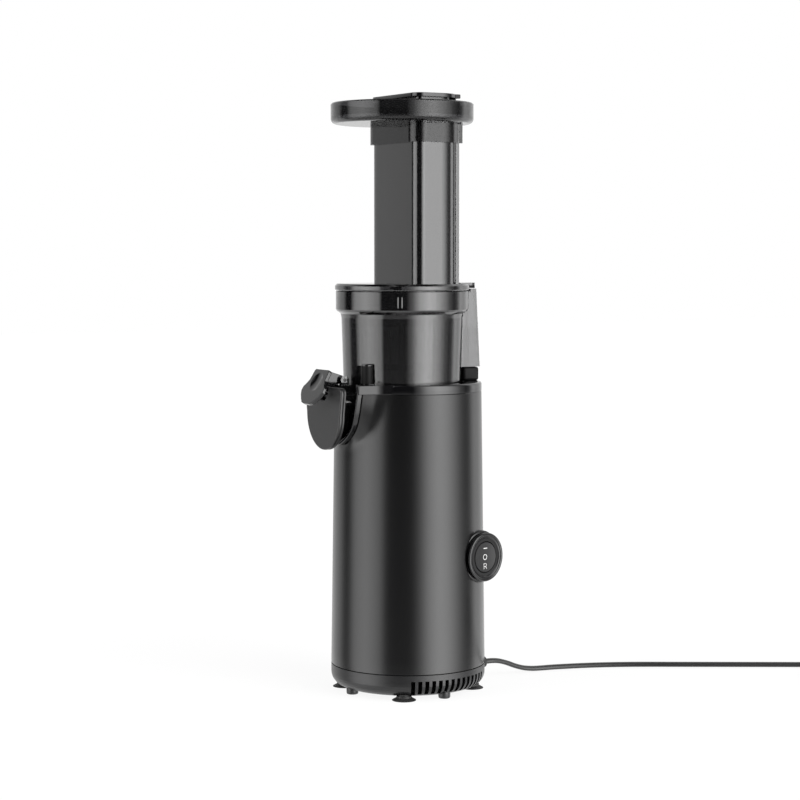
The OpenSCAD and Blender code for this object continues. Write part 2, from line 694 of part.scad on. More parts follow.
// The spiral runs inwards, then climbs on its last stretch to cross its own turns
function climb(t) = (1 - cos(180 * max(0, (t - coil_turns + climb_turns) / climb_turns))) / 2;
function coil_point(t) = coil_mid + [0, 0, climb_h * climb(t)]
  + (coil_out_r - coil_pitch * t) * (end_dir * sin(360 * t) - end_side * cos(360 * t));
coil_path = concat([end_pt], [for (i = [0:coil_turns * turn_steps]) coil_point(i / turn_steps)]);
plug_w = 24;
plug_l = 30;
plug_t = 14;
plug_z = plug_t / 2;
plug_gap = 46;
plug_start = coil_path[len(coil_path) - 1];
tail = concat([for (i = [1:7]) let (f = i / 7) plug_start + end_dir * (plug_gap - cord_w) * f
  + [0, 0, (plug_z - plug_start[2]) * (1 - cos(180 * f)) / 2]], [plug_start + end_dir * plug_gap + [0, 0, plug_z - plug_start[2]]]);
function path_length(p) = len(p) < 2 ? 0 : [for (i = [1:len(p) - 1]) norm(p[i] - p[i - 1])] * [for (i = [1:len(p) - 1]) 1];
wound = concat(coil_path, tail);
coil_gaps = [for (i = [0:len(wound) - 1], j = [i + turn_steps / 2:1:len(wound) - 1])
  let (d = wound[j] - wound[i], flat = norm([d[0], d[1]]), high = abs(d[2]))
  max(flat - cord_w, high - cord_t)];
union() {
  echo(coil_gap_mm = min(coil_gaps));
  echo(cord_length_mm = path_length(route) + path_length(wound));
}

module power_cord() { color([0.05, 0.05, 0.05]) flat_tube(route, cord_w, cord_t, 8); }
module cord_coil() { color([0.05, 0.05, 0.05]) flat_tube(wound, cord_w, cord_t, 6); }

// Two-blade plug lying on the table at the end of the lead
module at_plug() {
  translate(plug_start + end_dir * plug_gap + [0, 0, plug_z - plug_start[2]])
    rotate(atan2(end_dir[1], end_dir[0])) children();
}
module plug_body() {
  r = 3;
  color([0.05, 0.05, 0.05]) at_plug() {
    rotate([0, 90, 0]) cylinder(r1 = cord_w * 0.6, r2 = cord_w * 0.9, h = plug_l / 2);
    translate([plug_l / 2, 0, -plug_z]) linear_extrude(plug_t) hull() for (x = [r, plug_l - r], y = [-1, 1])
      translate([x, y * (plug_w / 2 - r)]) circle(r = r, $fn = 24);
  }
}
module plug_blades() {
  color([0.8, 0.75, 0.5]) at_plug() for (y = [-6.35, 6.35])
    translate([1.5 * plug_l, y - 0.8, -3.2]) cube([18, 1.6, 6.4]);
}

// Bowl: smoked wall, rim band with bayonet groove, two spouts, the column and a hub
hub_in_r = 9.6;
hub_wall = 2.2;
hub_h = 12;
lug_count = 3;
lug_deg = 16;
lug_z = rim_z - 8;
lug_h = 3;
lug_out = 0.9;
skirt_r = rim_r - band_wall - 0.4;
tube_wall = 2.2;
spout_end_y = -nose_y - ring_t - 4.8;
hinge_y = -nose_y - 2.9;
hinge_z = collar_top_z + 2.6;
hinge_r = 2.9;
cap_pin_r = 1.25;
ear_w = 2.6;
ear_x = 6;
peg_r = 3.9;
pulp_r = 14;
pulp_end = base_r + 12;
chamber_r = 3;
chamber_top_z = column_foot_z + 26;

module bowl_outline() {
  polygon([
    [0, bowl_z], [bowl_bottom_r - 3, bowl_z], [bowl_bottom_r - 0.9, bowl_z + 0.9], [bowl_bottom_r, bowl_z + 3],
    [wall_at_collar_r, collar_top_z], [bowl_top_r, band_z - 5], [bowl_top_r + 0.6, band_z - 2.4],
    [rim_r - 0.8, band_z - 0.6], [rim_r, band_z + 0.6], [rim_r, rim_z - 0.5], [rim_r - 0.5, rim_z], [0, rim_z]
  ]);
}
module bowl_cavity() {
  polygon([
    [0, bowl_z + 3], [bowl_bottom_r - bowl_wall - 4, bowl_z + 3], [bowl_bottom_r - bowl_wall, bowl_z + 7],
    [wall_at_collar_r - bowl_wall, collar_top_z], [bowl_in_r, band_z - 2], [rim_r - band_wall, band_z + 1.4],
    [rim_r - band_wall, rim_z + cut], [0, rim_z + cut]
  ]);
}
module arc_slot(r0, r1, deg0, deg1, h) {
  rotate(deg0) rotate_extrude(angle = deg1 - deg0) translate([r0, 0]) square([r1 - r0, h]);
}
module column() {
  translate([-column_w / 2, 0, 0]) rotate([90, 0, 90]) linear_extrude(column_w) polygon([
    [front + bowl_in_r - 6, column_foot_z + move_gap], [column_out_foot, column_foot_z + move_gap],
    [column_out_top, column_top_z], [front + lid_r + move_gap, column_top_z],
    [front + lid_r + move_gap, rim_z - 1], [front + bowl_in_r - 6, rim_z - 1]
  ]);
}
module juice_bowl() {
  color([0.12, 0.12, 0.125, 0.75]) difference() {
    union() {
      difference() {
        union() {
          on_bowl() rotate_extrude() bowl_outline();
          column();
          rod_front(spout_r, front - bowl_bottom_r / 2, spout_end_y);
          rotate(-90) rod_front(pulp_r, -bowl_bottom_r / 2, -pulp_end);
          translate([-9, spout_end_y + 1.4, spout_z]) cube([18, 18, collar_top_z - 0.6 - spout_z]);
          for (s = [-1, 1]) hinge_ear(s);
          translate([18.2, -41.5, collar_top_z + move_gap]) cylinder(r = peg_r, h = 3.2 * peg_r);
        }
        on_bowl() rotate_extrude() bowl_cavity();
        on_bowl() for (i = [0:lug_count - 1]) rotate(360 * i / lug_count) translate([0, 0, lug_z - move_gap]) {
          arc_slot(skirt_r - cut, skirt_r + lug_out + move_gap, -lug_deg / 2 - 1, lug_deg / 2 + lid_open_deg + 1, lug_h + 2 * move_gap);
          translate([0, 0, lug_h / 2]) arc_slot(skirt_r - 2 * cut, skirt_r + lug_out + move_gap + run_gap, lid_open_deg - lug_deg / 2 - 1,
            lid_open_deg + lug_deg / 2 + 0.6, rim_h);
        }
      }
      on_bowl() translate([0, 0, bowl_z + 1]) cylinder(r = hub_in_r + hub_wall, h = hub_h);
    }
    on_bowl() translate([0, 0, bowl_z - cut]) cylinder(r = hub_in_r, h = hub_h + 3 * cut);
    rod_front(spout_r - tube_wall, front - bowl_bottom_r / 2, spout_end_y - cut);
    rotate(-90) rod_front(pulp_r - tube_wall, -bowl_bottom_r / 2, -pulp_end - cut);
    on_bowl() rotate(45) translate([bowl_bottom_r * 0.62, 0, bowl_z - cut]) cylinder(r = plug_hole_r, h = 5 * cut);
    translate([0, rod_y, column_foot_z]) cylinder(r = rod_r + run_gap, h = column_top_z);
    translate([0, rod_y, column_foot_z - cut]) cylinder(r = chamber_r, h = chamber_top_z - column_foot_z + cut);
    translate([-column_w, hinge_y, hinge_z]) rotate([0, 90, 0]) cylinder(r = cap_pin_r + run_gap / 2, h = 2 * column_w);
  }
}
module hinge_ear(s) {
  translate([s * (ear_x + ear_w / 2) - ear_w / 2, hinge_y, hinge_z]) {
    rotate([0, 90, 0]) cylinder(r = hinge_r, h = ear_w);
    translate([0, -hinge_r, -hinge_z + collar_top_z - 2]) cube([ear_w, 2 * hinge_r, hinge_z - collar_top_z + 2]);
  }
}
module bowl_seal() {
  color([0.75, 0.75, 0.75]) on_bowl() translate([0, 0, bowl_z])
    tube(hub_in_r - fix_gap, socket_r + run_gap, 4);
}
plug_hole_r = 4;
module pulp_plug() {
  color([0.75, 0.75, 0.75]) on_bowl() rotate(45) translate([bowl_bottom_r * 0.62, 0, bowl_z + 0.2]) {
    cylinder(r = plug_hole_r - fix_gap, h = 2.8);
    translate([0, 0, 2.8]) cylinder(r = plug_hole_r + 1.6, h = 1.4);
  }
}

// Strainer: a frame of ribs and rings that carries a fine steel screen
strainer_r = 33;
strainer_z = bowl_z + 6;
strainer_top_z = band_z - 3.2;
rib_count = 12;
screen_r = 29.6;
screen_t = 0.5;
slot_rows = 4;
module strainer_basket() {
  h = strainer_top_z - strainer_z;
  inner = screen_r + screen_t + fix_gap;
  color([0.16, 0.16, 0.17]) on_bowl() translate([0, 0, strainer_z]) difference() {
    union() {
      tube(strainer_r, inner, h);
      translate([0, 0, h - 3]) tube(bowl_in_r - move_gap - 0.4, inner, 3);
    }
    for (i = [0:rib_count - 1], row = [0:1]) rotate((i + 0.5) * 360 / rib_count)
      translate([screen_r - 2, -strainer_r * 0.2, 16 + row * (h - 19) / 2])
        cube([strainer_r, strainer_r * 0.4, (h - 19) / 2 - 4]);
    translate([0, -strainer_r, spout_z - strainer_z]) rotate([90, 0, 0]) translate([0, 0, -8])
      cylinder(r = 8, h = 16);
    translate([-strainer_r, 0, spout_z - strainer_z]) rotate([0, 90, 0]) translate([0, 0, -8])
      cylinder(r = 8, h = 16);
  }
}
module strainer_screen() {
  h = strainer_top_z - strainer_z - 12;
  color([0.7, 0.7, 0.72]) on_bowl() translate([0, 0, strainer_z + 12]) difference() {
    tube(screen_r + screen_t, screen_r, h);
    for (i = [0:2 * rib_count - 1], k = [0:slot_rows - 1]) rotate(i * 180 / rib_count)
      translate([screen_r - cut, -0.6, 3 + k * (h - 6) / slot_rows]) cube([3 * cut, 1.2, (h - 6) / slot_rows - 3]);
  }
}

// Auger: a tapered core with two flights of twisted section, turned by the hexagon socket
socket_r = 8;
socket_top_z = out_top_z + 3;
auger_z = strainer_z + 1;
auger_r = 28.4;
auger_core_r = 13;
auger_h = 64;
auger_pin_r = 4;
auger_pin_top_z = rim_z - 1.4;
flight_turn_deg = 430;
flight_steps = 36;
flight_top_share = 0.84;
// One flight's section as shares of the auger's radius
flight_shares = [[0.5, -0.36], [0.8, -0.26], [0.98, -0.12], [0.98, 0.1], [0.84, 0.24], [0.5, 0.34]];
module flight_outline() {
  polygon(auger_r * concat(flight_shares, -flight_shares));
}
module auger() {
  base_h = 12;
  color([0.14, 0.14, 0.15]) on_bowl() difference() {
    union() {
      translate([0, 0, auger_z]) cylinder(r1 = auger_r, r2 = auger_core_r, h = base_h);
      translate([0, 0, auger_z + base_h / 2]) cylinder(r1 = auger_core_r + 3, r2 = auger_core_r - 3, h = auger_h - base_h / 2);
      translate([0, 0, auger_z + base_h / 3]) linear_extrude(height = auger_h - base_h / 3,
        twist = flight_turn_deg, slices = flight_steps, scale = flight_top_share, $fn = 12) flight_outline();
      translate([0, 0, auger_z + auger_h - cut]) cylinder(r1 = auger_core_r - 3, r2 = auger_pin_r + 1, h = 4);
      translate([0, 0, auger_z + auger_h]) cylinder(r = auger_pin_r, h = auger_pin_top_z - auger_z - auger_h);
    }
    translate([0, 0, auger_z - cut]) cylinder(r = hub_in_r + hub_wall + move_gap, h = bowl_z + hub_h + 2 * cut - auger_z);
    translate([0, 0, auger_z - cut]) cylinder(r = socket_r + fix_gap, h = socket_top_z - auger_z + cut);
  }
}
module auger_socket() {
  color([0.65, 0.65, 0.67]) on_bowl() translate([0, 0, bowl_z + 0.5]) difference() {
    cylinder(r = socket_r, h = socket_top_z - bowl_z - 0.5);
    translate([0, 0, -cut]) cylinder(r = (hex_flats + 2 * move_gap) / sqrt(3), h = out_top_z - bowl_z + move_gap + cut, $fn = 6);
  }
}

// Juice cap: a D-shaped plate with a seal, hung on a pin and opened by a finger lever
plate_back_y = spout_end_y - 1.6;
plate_front_y = plate_back_y - plate_t;
plate_top_z = collar_top_z - 1.6;
corner_r = 5;
notch_r = 10;
module plate_outline(inset) {
  r = plate_r - inset;
  top = plate_top_z - spout_z - inset;
  intersection() {
    circle(r = r);
    translate([-r, -r]) square([2 * r, r]);
  }
  translate([-r, 0]) square([2 * r, top - corner_r]);
  translate([-r + corner_r, 0]) square([2 * (r - corner_r), top]);
  for (s = [-1, 1]) translate([s * (r - corner_r), top - corner_r]) circle(r = corner_r);
}
module juice_cap() {
  color([0.1, 0.1, 0.105]) difference() {
    union() {
      translate([0, plate_back_y, spout_z]) rotate([90, 0, 0]) linear_extrude(plate_t) plate_outline(0);
      translate([0, plate_back_y + 0.4, spout_z]) rotate([90, 0, 0]) linear_extrude(0.4 + cut) plate_outline(1.2);
    }
    translate([0, plate_front_y + 2.4, plate_top_z - 2]) rotate([90, 0, 0]) cylinder(r = notch_r, h = plate_t);
    translate([-notch_r, plate_front_y - cut, plate_top_z - 2]) cube([2 * notch_r, 2.4 + cut, corner_r]);
  }
}
module cap_seal() {
  color([0.7, 0.7, 0.7]) {
    translate([0, spout_end_y - 0.1, spout_z]) rotate([90, 0, 0]) tube(spout_r, spout_r - tube_wall - 1, 1.1);
    rod_front(spout_r - tube_wall - 2 * move_gap, spout_end_y + 0.8, spout_end_y - 1.2);
  }
}
module cap_pin() {
  color([0.6, 0.6, 0.62]) translate([-ear_x - ear_w, hinge_y, hinge_z]) rotate([0, 90, 0])
    cylinder(r = cap_pin_r, h = 2 * (ear_x + ear_w));
}

lever_top = [plate_front_y + 0.6, collar_top_z + 9];
lever_low = [plate_front_y - 12, collar_top_z - 13];
lever_t = 2.6;
lever_w = 10;
// Half of the lever's outline: share of its length from the top, share of its top half-width
lever_shares = [[0, 0.9], [0.04, 1], [0.3, 1.05], [0.42, 1.25], [0.52, 1.48], [0.64, 1.5], [0.76, 1.3], [0.88, 0.98], [0.97, 0.7], [1, 0.4]];
module lever_outline(length) {
  polygon(concat([for (p = lever_shares) [lever_w * p[1], -length * p[0]]],
    [for (i = [len(lever_shares) - 1:-1:0]) [-lever_w * lever_shares[i][1], -length * lever_shares[i][0]]]));
}
module cap_lever() {
  run = lever_low - lever_top;
  length = norm(run);
  lean = atan2(-run[0], -run[1]);
  color([0.07, 0.07, 0.075]) difference() {
    union() {
      translate([0, lever_top[0], lever_top[1]]) rotate([90 - lean, 0, 0]) translate([0, 0, -lever_t / 2])
        linear_extrude(lever_t) lever_outline(length);
      intersection() {
        translate([-ear_x + move_gap, 0, 0]) rotate([90, 0, 90]) linear_extrude(2 * (ear_x - move_gap)) polygon([
          [hinge_y, hinge_z + hinge_r], [lever_top[0], lever_top[1]], [lever_top[0] - 5, lever_top[1] - 9],
          [plate_front_y + 2.4, plate_top_z - 6], [plate_front_y + 2.4, plate_top_z + 0.3],
          [plate_back_y, plate_top_z + 0.3], [hinge_y - 2, hinge_z - 1], [hinge_y, hinge_z]
        ]);
        translate([-plate_r, lever_low[0], 0]) cube([2 * plate_r, base_r, rim_z]);
      }
      translate([-ear_x + move_gap, hinge_y, hinge_z]) rotate([0, 90, 0]) cylinder(r = hinge_r, h = 2 * (ear_x - move_gap));
    }
    translate([-ear_x, hinge_y, hinge_z]) rotate([0, 90, 0]) cylinder(r = cap_pin_r + run_gap, h = 2 * ear_x);
    translate([0, lever_top[0] + 0.36 * run[0], lever_top[1] + 0.36 * run[1]]) rotate([90 - lean, 0, 0])
      translate([0, 0, 21.2]) sphere(r = 21);
  }
}

// Interlock: the rod in the column, its guide and its spring
rod_collar_r = 2.7;
guide_h = 4;
spring_z = column_foot_z + move_gap + guide_h;
spring_h = 16;
spring_turns = 7;
wire_r = 0.35;
module interlock_rod() {
  color([0.6, 0.6, 0.62]) translate([0, rod_y, rod_bottom_z]) {
    cylinder(r = rod_r, h = column_top_z - rod_bottom_z);
    translate([0, 0, spring_z + spring_h - rod_bottom_z]) cylinder(r = rod_collar_r, h = 1.6);
  }
}
module rod_guide() {
  color([0.72, 0.6, 0.35]) translate([0, rod_y, column_foot_z + move_gap]) tube(chamber_r - 0.02, rod_r + run_gap, guide_h);
}
module interlock_spring() {
  mid = rod_r + run_gap + 0.25 + wire_r;
  steps = 10 * spring_turns;
  path = [for (i = [0:steps]) let (a = 360 * spring_turns * i / steps)
    [mid * cos(a), mid * sin(a), wire_r + (spring_h - 2 * wire_r) * i / steps]];
  color([0.7, 0.7, 0.72]) translate([0, rod_y, spring_z]) flat_tube(path, 2 * wire_r, 2 * wire_r, 5);
}

// Lid with its chute, skirt, bayonet lugs, bush hub and the tab over the column
chute_corner = 6.4;
module chute_outline(inset) {
  w = chute_w / 2 - inset;
  c = chute_corner - inset;
  y0 = -chute_front + inset;
  y1 = chute_d - chute_front - inset;
  r = chute_back_r - inset;
  translate([-w + c, y0]) square([2 * (w - c), y1 - y0]);
  translate([-w, y0 + c]) square([2 * w, y1 - y0 - c - r]);
  for (s = [-1, 1]) {
    translate([s * (w - c), y0 + c]) circle(r = c);
    intersection() {
      translate([s * (w - r), y1 - r]) circle(r = r);
      translate([s > 0 ? 0 : -w, 0]) square([w, y1]);
    }
  }
  translate([-w + r, y0]) square([2 * (w - r), y1 - y0]);
}
module lid() {
  under = rim_z + move_gap;
  tab_z = column_top_z + move_gap;
  color([0.1, 0.1, 0.105, 0.8]) difference() {
    on_bowl() difference() {
      union() {
        translate([0, 0, under]) rotate_extrude() polygon([[0, 0], [lid_r - 0.4, 0], [lid_r, 0.6],
          [lid_r, lid_t - move_gap - 1.4], [lid_r - 1.4, lid_t - move_gap], [0, lid_t - move_gap]]);
        translate([0, 0, band_z + 1.6]) tube(skirt_r, skirt_r - 2, under + cut - band_z - 1.6);
        for (i = [0:lug_count - 1]) rotate(360 * i / lug_count) translate([0, 0, lug_z])
          arc_slot(skirt_r - 1, skirt_r + lug_out, -lug_deg / 2, lug_deg / 2, lug_h);
        translate([0, 0, lid_top_z - cut]) linear_extrude(chute_top_z - lid_top_z + cut) chute_outline(0);
        translate([0, 0, lug_z]) cylinder(r = bush_out_r + 2, h = lid_top_z - lug_z);
        translate([0, 0, tab_z]) linear_extrude(lid_t + 0.4 - tab_z + rim_z) tab_outline();
      }
      translate([0, 0, lid_top_z + 0.2]) linear_extrude(chute_top_z) chute_outline(chute_wall);
      difference() {
        translate([0, 0, rim_z - cut]) linear_extrude(chute_top_z) chute_outline(chute_wall);
        translate([0, 0, rim_z - 2 * cut]) cylinder(r = bush_out_r + 2, h = lid_t + 2 * cut + 0.2);
        translate([-3, -chute_front, rim_z - 2 * cut]) cube([6, chute_front, lid_t + 2 * cut + 0.2]);
      }
      translate([0, 0, lug_z - cut]) cylinder(r = bush_out_r + fix_gap / 5, h = bush_h + cut);
      translate([0, 0, band_z + 3]) tube(skirt_r + cut, skirt_r - 1.2, 2);
    }
    translate([-rod_r - 0.6, rod_y - 5, tab_z - cut]) rotate([0, -ramp_deg, 0])
      translate([0, 0, -lid_t]) cube([column_w, 5 + rod_r + 0.6, lid_t + 0.4]);
  }
}
ramp_deg = atan(rod_travel / ((rod_y + bowl_shift) * lid_open_deg * PI / 180)) + 2;
module tab_outline() {
  r = column_out_top + bowl_shift + 0.8;
  e = 4.4;
  translate([-column_w / 2, lid_r - 8]) square([column_w, r - e - lid_r + 8]);
  translate([-column_w / 2 + e, lid_r - 8]) square([column_w - 2 * e, r - lid_r + 8]);
  for (s = [-1, 1]) translate([s * (column_w / 2 - e), r - e]) circle(r = e);
}
bush_out_r = auger_pin_r + 2;
bush_h = 9;
module lid_bush() {
  color([0.8, 0.8, 0.78]) on_bowl() translate([0, 0, lug_z]) tube(bush_out_r, auger_pin_r + run_gap, bush_h - 0.1);
}
module lid_seal() {
  color([0.75, 0.75, 0.75]) on_bowl() translate([0, 0, band_z + 3.1]) tube(skirt_r - 0.05, skirt_r - 1.15, 1.8);
}

// Tray: a round dish whose skirt slips over the top of the chute
module feed_tray() {
  edge = 3.5;
  gap = move_gap;
  color([0.1, 0.1, 0.105, 0.8]) on_bowl() difference() {
    union() {
      translate([0, 0, chute_top_z + gap]) rotate_extrude() polygon(concat([[0, 0]],
        [for (i = [0:6]) [tray_r - edge + edge * sin(15 * i), edge - edge * cos(15 * i)]],
        [[tray_r, tray_h - gap - 0.8], [tray_r - 0.8, tray_h - gap], [0, tray_h - gap]]));
      translate([0, 0, chute_top_z - skirt_h]) linear_extrude(skirt_h + cut) chute_outline(-tray_wall - gap);
    }
    translate([0, 0, tray_floor_z + gap]) rotate_extrude() polygon([[0, 0], [tray_r - tray_wall - 2.4, 0],
      [tray_r - tray_wall, 2.4], [tray_r - tray_wall, tray_h], [0, tray_h]]);
    translate([0, 0, chute_top_z - skirt_h - cut]) linear_extrude(skirt_h + cut + gap) chute_outline(-gap);
    translate([0, 0, chute_top_z - cut]) linear_extrude(tray_h) chute_outline(chute_wall);
  }
}

// Pusher: a hollow plug that fills the chute, closed by a head that rests in the dish
pusher_gap = 0.6;
pusher_wall = 2.4;
module pusher_body() {
  inset = chute_wall + pusher_gap;
  z0 = lid_top_z + 1;
  top = pusher_top_z - head_h;
  color([0.09, 0.09, 0.095]) on_bowl() difference() {
    union() {
      translate([0, 0, z0]) linear_extrude(top - z0) chute_outline(inset);
      translate([0, 0, tray_floor_z + 2 * move_gap]) linear_extrude(top - tray_floor_z - 2 * move_gap) chute_outline(-0.4);
    }
    translate([0, 0, z0 + pusher_wall]) linear_extrude(top) chute_outline(inset + pusher_wall);
  }
}
module pusher_head() {
  edge = 1.4;
  color([0.06, 0.06, 0.065]) on_bowl() {
    translate([0, 0, pusher_top_z - head_h]) linear_extrude(head_h - edge) chute_outline(-0.8);
    translate([0, 0, pusher_top_z - edge]) linear_extrude(edge) chute_outline(0.2);
    translate([0, 0, pusher_top_z - head_h - 3]) linear_extrude(3) chute_outline(chute_wall + pusher_gap + pusher_wall + fix_gap);
  }
}

base_shell();
collar_trim();
bowl_well();
base_cap();
cap_screws();
suction_feet();
motor_can();
motor_stator();
motor_end_plate();
motor_bearings();
carbon_brushes();
motor_rotor();
motor_fan();
gear_housing();
gearbox_screws();
ring_gear();
sun_gear();
planet_gear_1();
planet_gear_2();
planet_gear_3();
planet_carrier();
planet_pins();
output_bush();
shaft_seal();
circuit_board();
microswitch();
switch_bezel();
switch_housing();
rocker();
strain_relief();
power_cord();
cord_coil();
plug_body();
plug_blades();
juice_bowl();
bowl_seal();
strainer_basket();
strainer_screen();
pulp_plug();
auger();
auger_socket();
cap_pin();
juice_cap();
cap_seal();
cap_lever();
interlock_rod();
rod_guide();
interlock_spring();
lid();
lid_seal();
lid_bush();
feed_tray();
pusher_body();
pusher_head();
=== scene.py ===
import json
import math
import bpy
import bmesh
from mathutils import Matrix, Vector


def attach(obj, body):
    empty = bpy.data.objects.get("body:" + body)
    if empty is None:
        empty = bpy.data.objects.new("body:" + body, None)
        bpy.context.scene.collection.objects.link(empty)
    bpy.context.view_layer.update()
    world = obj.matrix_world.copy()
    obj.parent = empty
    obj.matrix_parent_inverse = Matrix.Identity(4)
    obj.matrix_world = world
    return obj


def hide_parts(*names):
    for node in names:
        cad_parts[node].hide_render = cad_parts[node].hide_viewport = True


# Sizes and places are millimetres and degrees. MM turns a millimetre into Blender's metres.
MM = 0.001
UP = Vector((0, 0, 1))

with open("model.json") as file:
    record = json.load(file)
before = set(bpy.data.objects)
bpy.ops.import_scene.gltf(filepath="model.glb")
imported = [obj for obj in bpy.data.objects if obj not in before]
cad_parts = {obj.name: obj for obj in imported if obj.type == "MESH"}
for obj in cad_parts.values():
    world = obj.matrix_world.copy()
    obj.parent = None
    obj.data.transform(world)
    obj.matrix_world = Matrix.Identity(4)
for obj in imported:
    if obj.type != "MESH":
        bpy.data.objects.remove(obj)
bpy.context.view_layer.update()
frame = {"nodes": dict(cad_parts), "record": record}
nodes = frame["nodes"]
scene = bpy.context.scene
scene.view_settings.view_transform = "Standard"

# Camera: seen from 60 degrees beside the juice spout, towards +X, and a little from above
VIEW_DEG = 60.0
PITCH_DEG = 3.99
CAMERA_AWAY = 1430
CAMERA_Z = 295
AIM_RIGHT = -5.4
LENS = 95.85
SENSOR = 36
CLIP_NEAR = 50
CLIP_FAR = 50000


def level_direction(degrees):
    """A level direction, counted from -Y towards +X."""
    a = math.radians(degrees)
    return Vector((math.sin(a), -math.cos(a), 0))


to_camera = level_direction(VIEW_DEG)
to_right = level_direction(VIEW_DEG + 90)
aim_z = CAMERA_Z - CAMERA_AWAY * math.tan(math.radians(PITCH_DEG))
aim = (to_right * AIM_RIGHT + UP * aim_z) * MM
camera = bpy.data.objects.new("camera", bpy.data.cameras.new("camera"))
scene.collection.objects.link(camera)
camera.data.lens = LENS
camera.data.sensor_width = SENSOR
camera.data.clip_start = CLIP_NEAR * MM
camera.data.clip_end = CLIP_FAR * MM
camera.location = (to_camera * CAMERA_AWAY + UP * CAMERA_Z) * MM
camera.rotation_mode = "QUATERNION"
camera.rotation_quaternion = (aim - camera.location).to_track_quat("-Z", "Y")
scene.camera = camera


# Materials: large spots vary the roughness a little, and a fine grain can roughen the surface
SPOT_SCALE = 22
SPOT_DETAIL = 5
GRAIN_DETAIL = 3
GRAIN_DEPTH = 0.12
BRUSHED_SCALE = (1, 1, 0.03)


def noise(tree, place, scale, detail):
    node = tree.nodes.new("ShaderNodeTexNoise")
    node.inputs["Scale"].default_value = scale
    node.inputs["Detail"].default_value = detail
    tree.links.new(place, node.inputs["Vector"])
    return node.outputs["Fac"]


def material(name, colour, rough, rough_var, metal=0.0, spec=0.5, ior=1.5, trans=0.0, grain=0.0,
             grain_scale=900.0, brushed=False):
    made = bpy.data.materials.new(name)
    made.use_nodes = True
    tree = made.node_tree
    shader = tree.nodes["Principled BSDF"]
    shader.inputs["Base Color"].default_value = (*colour, 1)
    shader.inputs["Roughness"].default_value = rough
    shader.inputs["Metallic"].default_value = metal
    shader.inputs["Specular IOR Level"].default_value = spec
    shader.inputs["IOR"].default_value = ior
    shader.inputs["Transmission Weight"].default_value = trans
    place = tree.nodes.new("ShaderNodeTexCoord").outputs["Object"]
    span = tree.nodes.new("ShaderNodeMapRange")
    span.inputs["To Min"].default_value = rough - rough_var
    span.inputs["To Max"].default_value = rough + rough_var
    tree.links.new(noise(tree, place, SPOT_SCALE, SPOT_DETAIL), span.inputs["Value"])
    tree.links.new(span.outputs["Result"], shader.inputs["Roughness"])
    if brushed:
        stretch = tree.nodes.new("ShaderNodeMapping")
        stretch.inputs["Scale"].default_value = BRUSHED_SCALE
        tree.links.new(place, stretch.inputs["Vector"])
        place = stretch.outputs["Vector"]
    if grain:
        bump = tree.nodes.new("ShaderNodeBump")
        bump.inputs["Strength"].default_value = grain
        bump.inputs["Distance"].default_value = GRAIN_DEPTH * MM
        tree.links.new(noise(tree, place, grain_scale, GRAIN_DETAIL), bump.inputs["Height"])
        tree.links.new(bump.outputs["Normal"], shader.inputs["Normal"])
    return made


LOOKS = {
    "satin_black": dict(colour=(0.003, 0.003, 0.0032), rough=0.25, rough_var=0.03, grain=0.07,
                        grain_scale=1400),
    "gloss_black": dict(colour=(0.004, 0.004, 0.0045), rough=0.09, rough_var=0.02, spec=0.55),
    "black_plastic": dict(colour=(0.009, 0.009, 0.0095), rough=0.36, rough_var=0.04, grain=0.1,
                          grain_scale=1100),
    "dark_plastic": dict(colour=(0.03, 0.03, 0.032), rough=0.5, rough_var=0.06, grain=0.2),
    "smoked": dict(colour=(0.05, 0.05, 0.052), rough=0.035, rough_var=0.015, trans=0.92, ior=1.66),
    "smoked_tray": dict(colour=(0.05, 0.05, 0.052), rough=0.06, rough_var=0.02, trans=0.9, ior=1.42),
    "silicone": dict(colour=(0.02, 0.02, 0.021), rough=0.55, rough_var=0.05, grain=0.15),
    "rubber_black": dict(colour=(0.012, 0.012, 0.012), rough=0.62, rough_var=0.08, grain=0.3),
    "steel": dict(colour=(0.52, 0.52, 0.54), rough=0.28, rough_var=0.06, metal=1, grain=0.3,
                  grain_scale=500, brushed=True),
    "chrome": dict(colour=(0.75, 0.75, 0.76), rough=0.1, rough_var=0.03, metal=1),
    "brass": dict(colour=(0.62, 0.44, 0.16), rough=0.25, rough_var=0.06, metal=1),
    "laminate": dict(colour=(0.12, 0.11, 0.10), rough=0.45, rough_var=0.08, metal=0.7, grain=0.4),
    "nylon": dict(colour=(0.72, 0.70, 0.62), rough=0.45, rough_var=0.06, grain=0.15),
    "carbon": dict(colour=(0.02, 0.02, 0.021), rough=0.55, rough_var=0.05, metal=0.2, grain=0.3),
    "board": dict(colour=(0.01, 0.06, 0.02), rough=0.4, rough_var=0.05, grain=0.15),
    "cord_black": dict(colour=(0.010, 0.010, 0.010), rough=0.38, rough_var=0.05, grain=0.15,
                       grain_scale=700),
    "matt_black": dict(colour=(0.006, 0.006, 0.006), rough=0.5, rough_var=0.05, spec=0.12),
    # a light grey that paints the highlights of the rim's raised lines
    "rim_painted_highlight": dict(colour=(0.2, 0.2, 0.2), rough=0.4, rough_var=0.04),
    "mark_white": dict(colour=(0.78, 0.78, 0.77), rough=0.5, rough_var=0.04),
}
MATS = {name: material(name, **look) for name, look in LOOKS.items()}
# Looks of the scene alone, which are no material slot of the record
slot_of = {s["node"]: s["material_slot"] for s in frame["record"]["subparts"]}


def dress(obj, slot):
    obj.data.materials.clear()
    obj.data.materials.append(MATS[slot])
    return obj


for name, node in nodes.items():
    dress(node, slot_of[name])


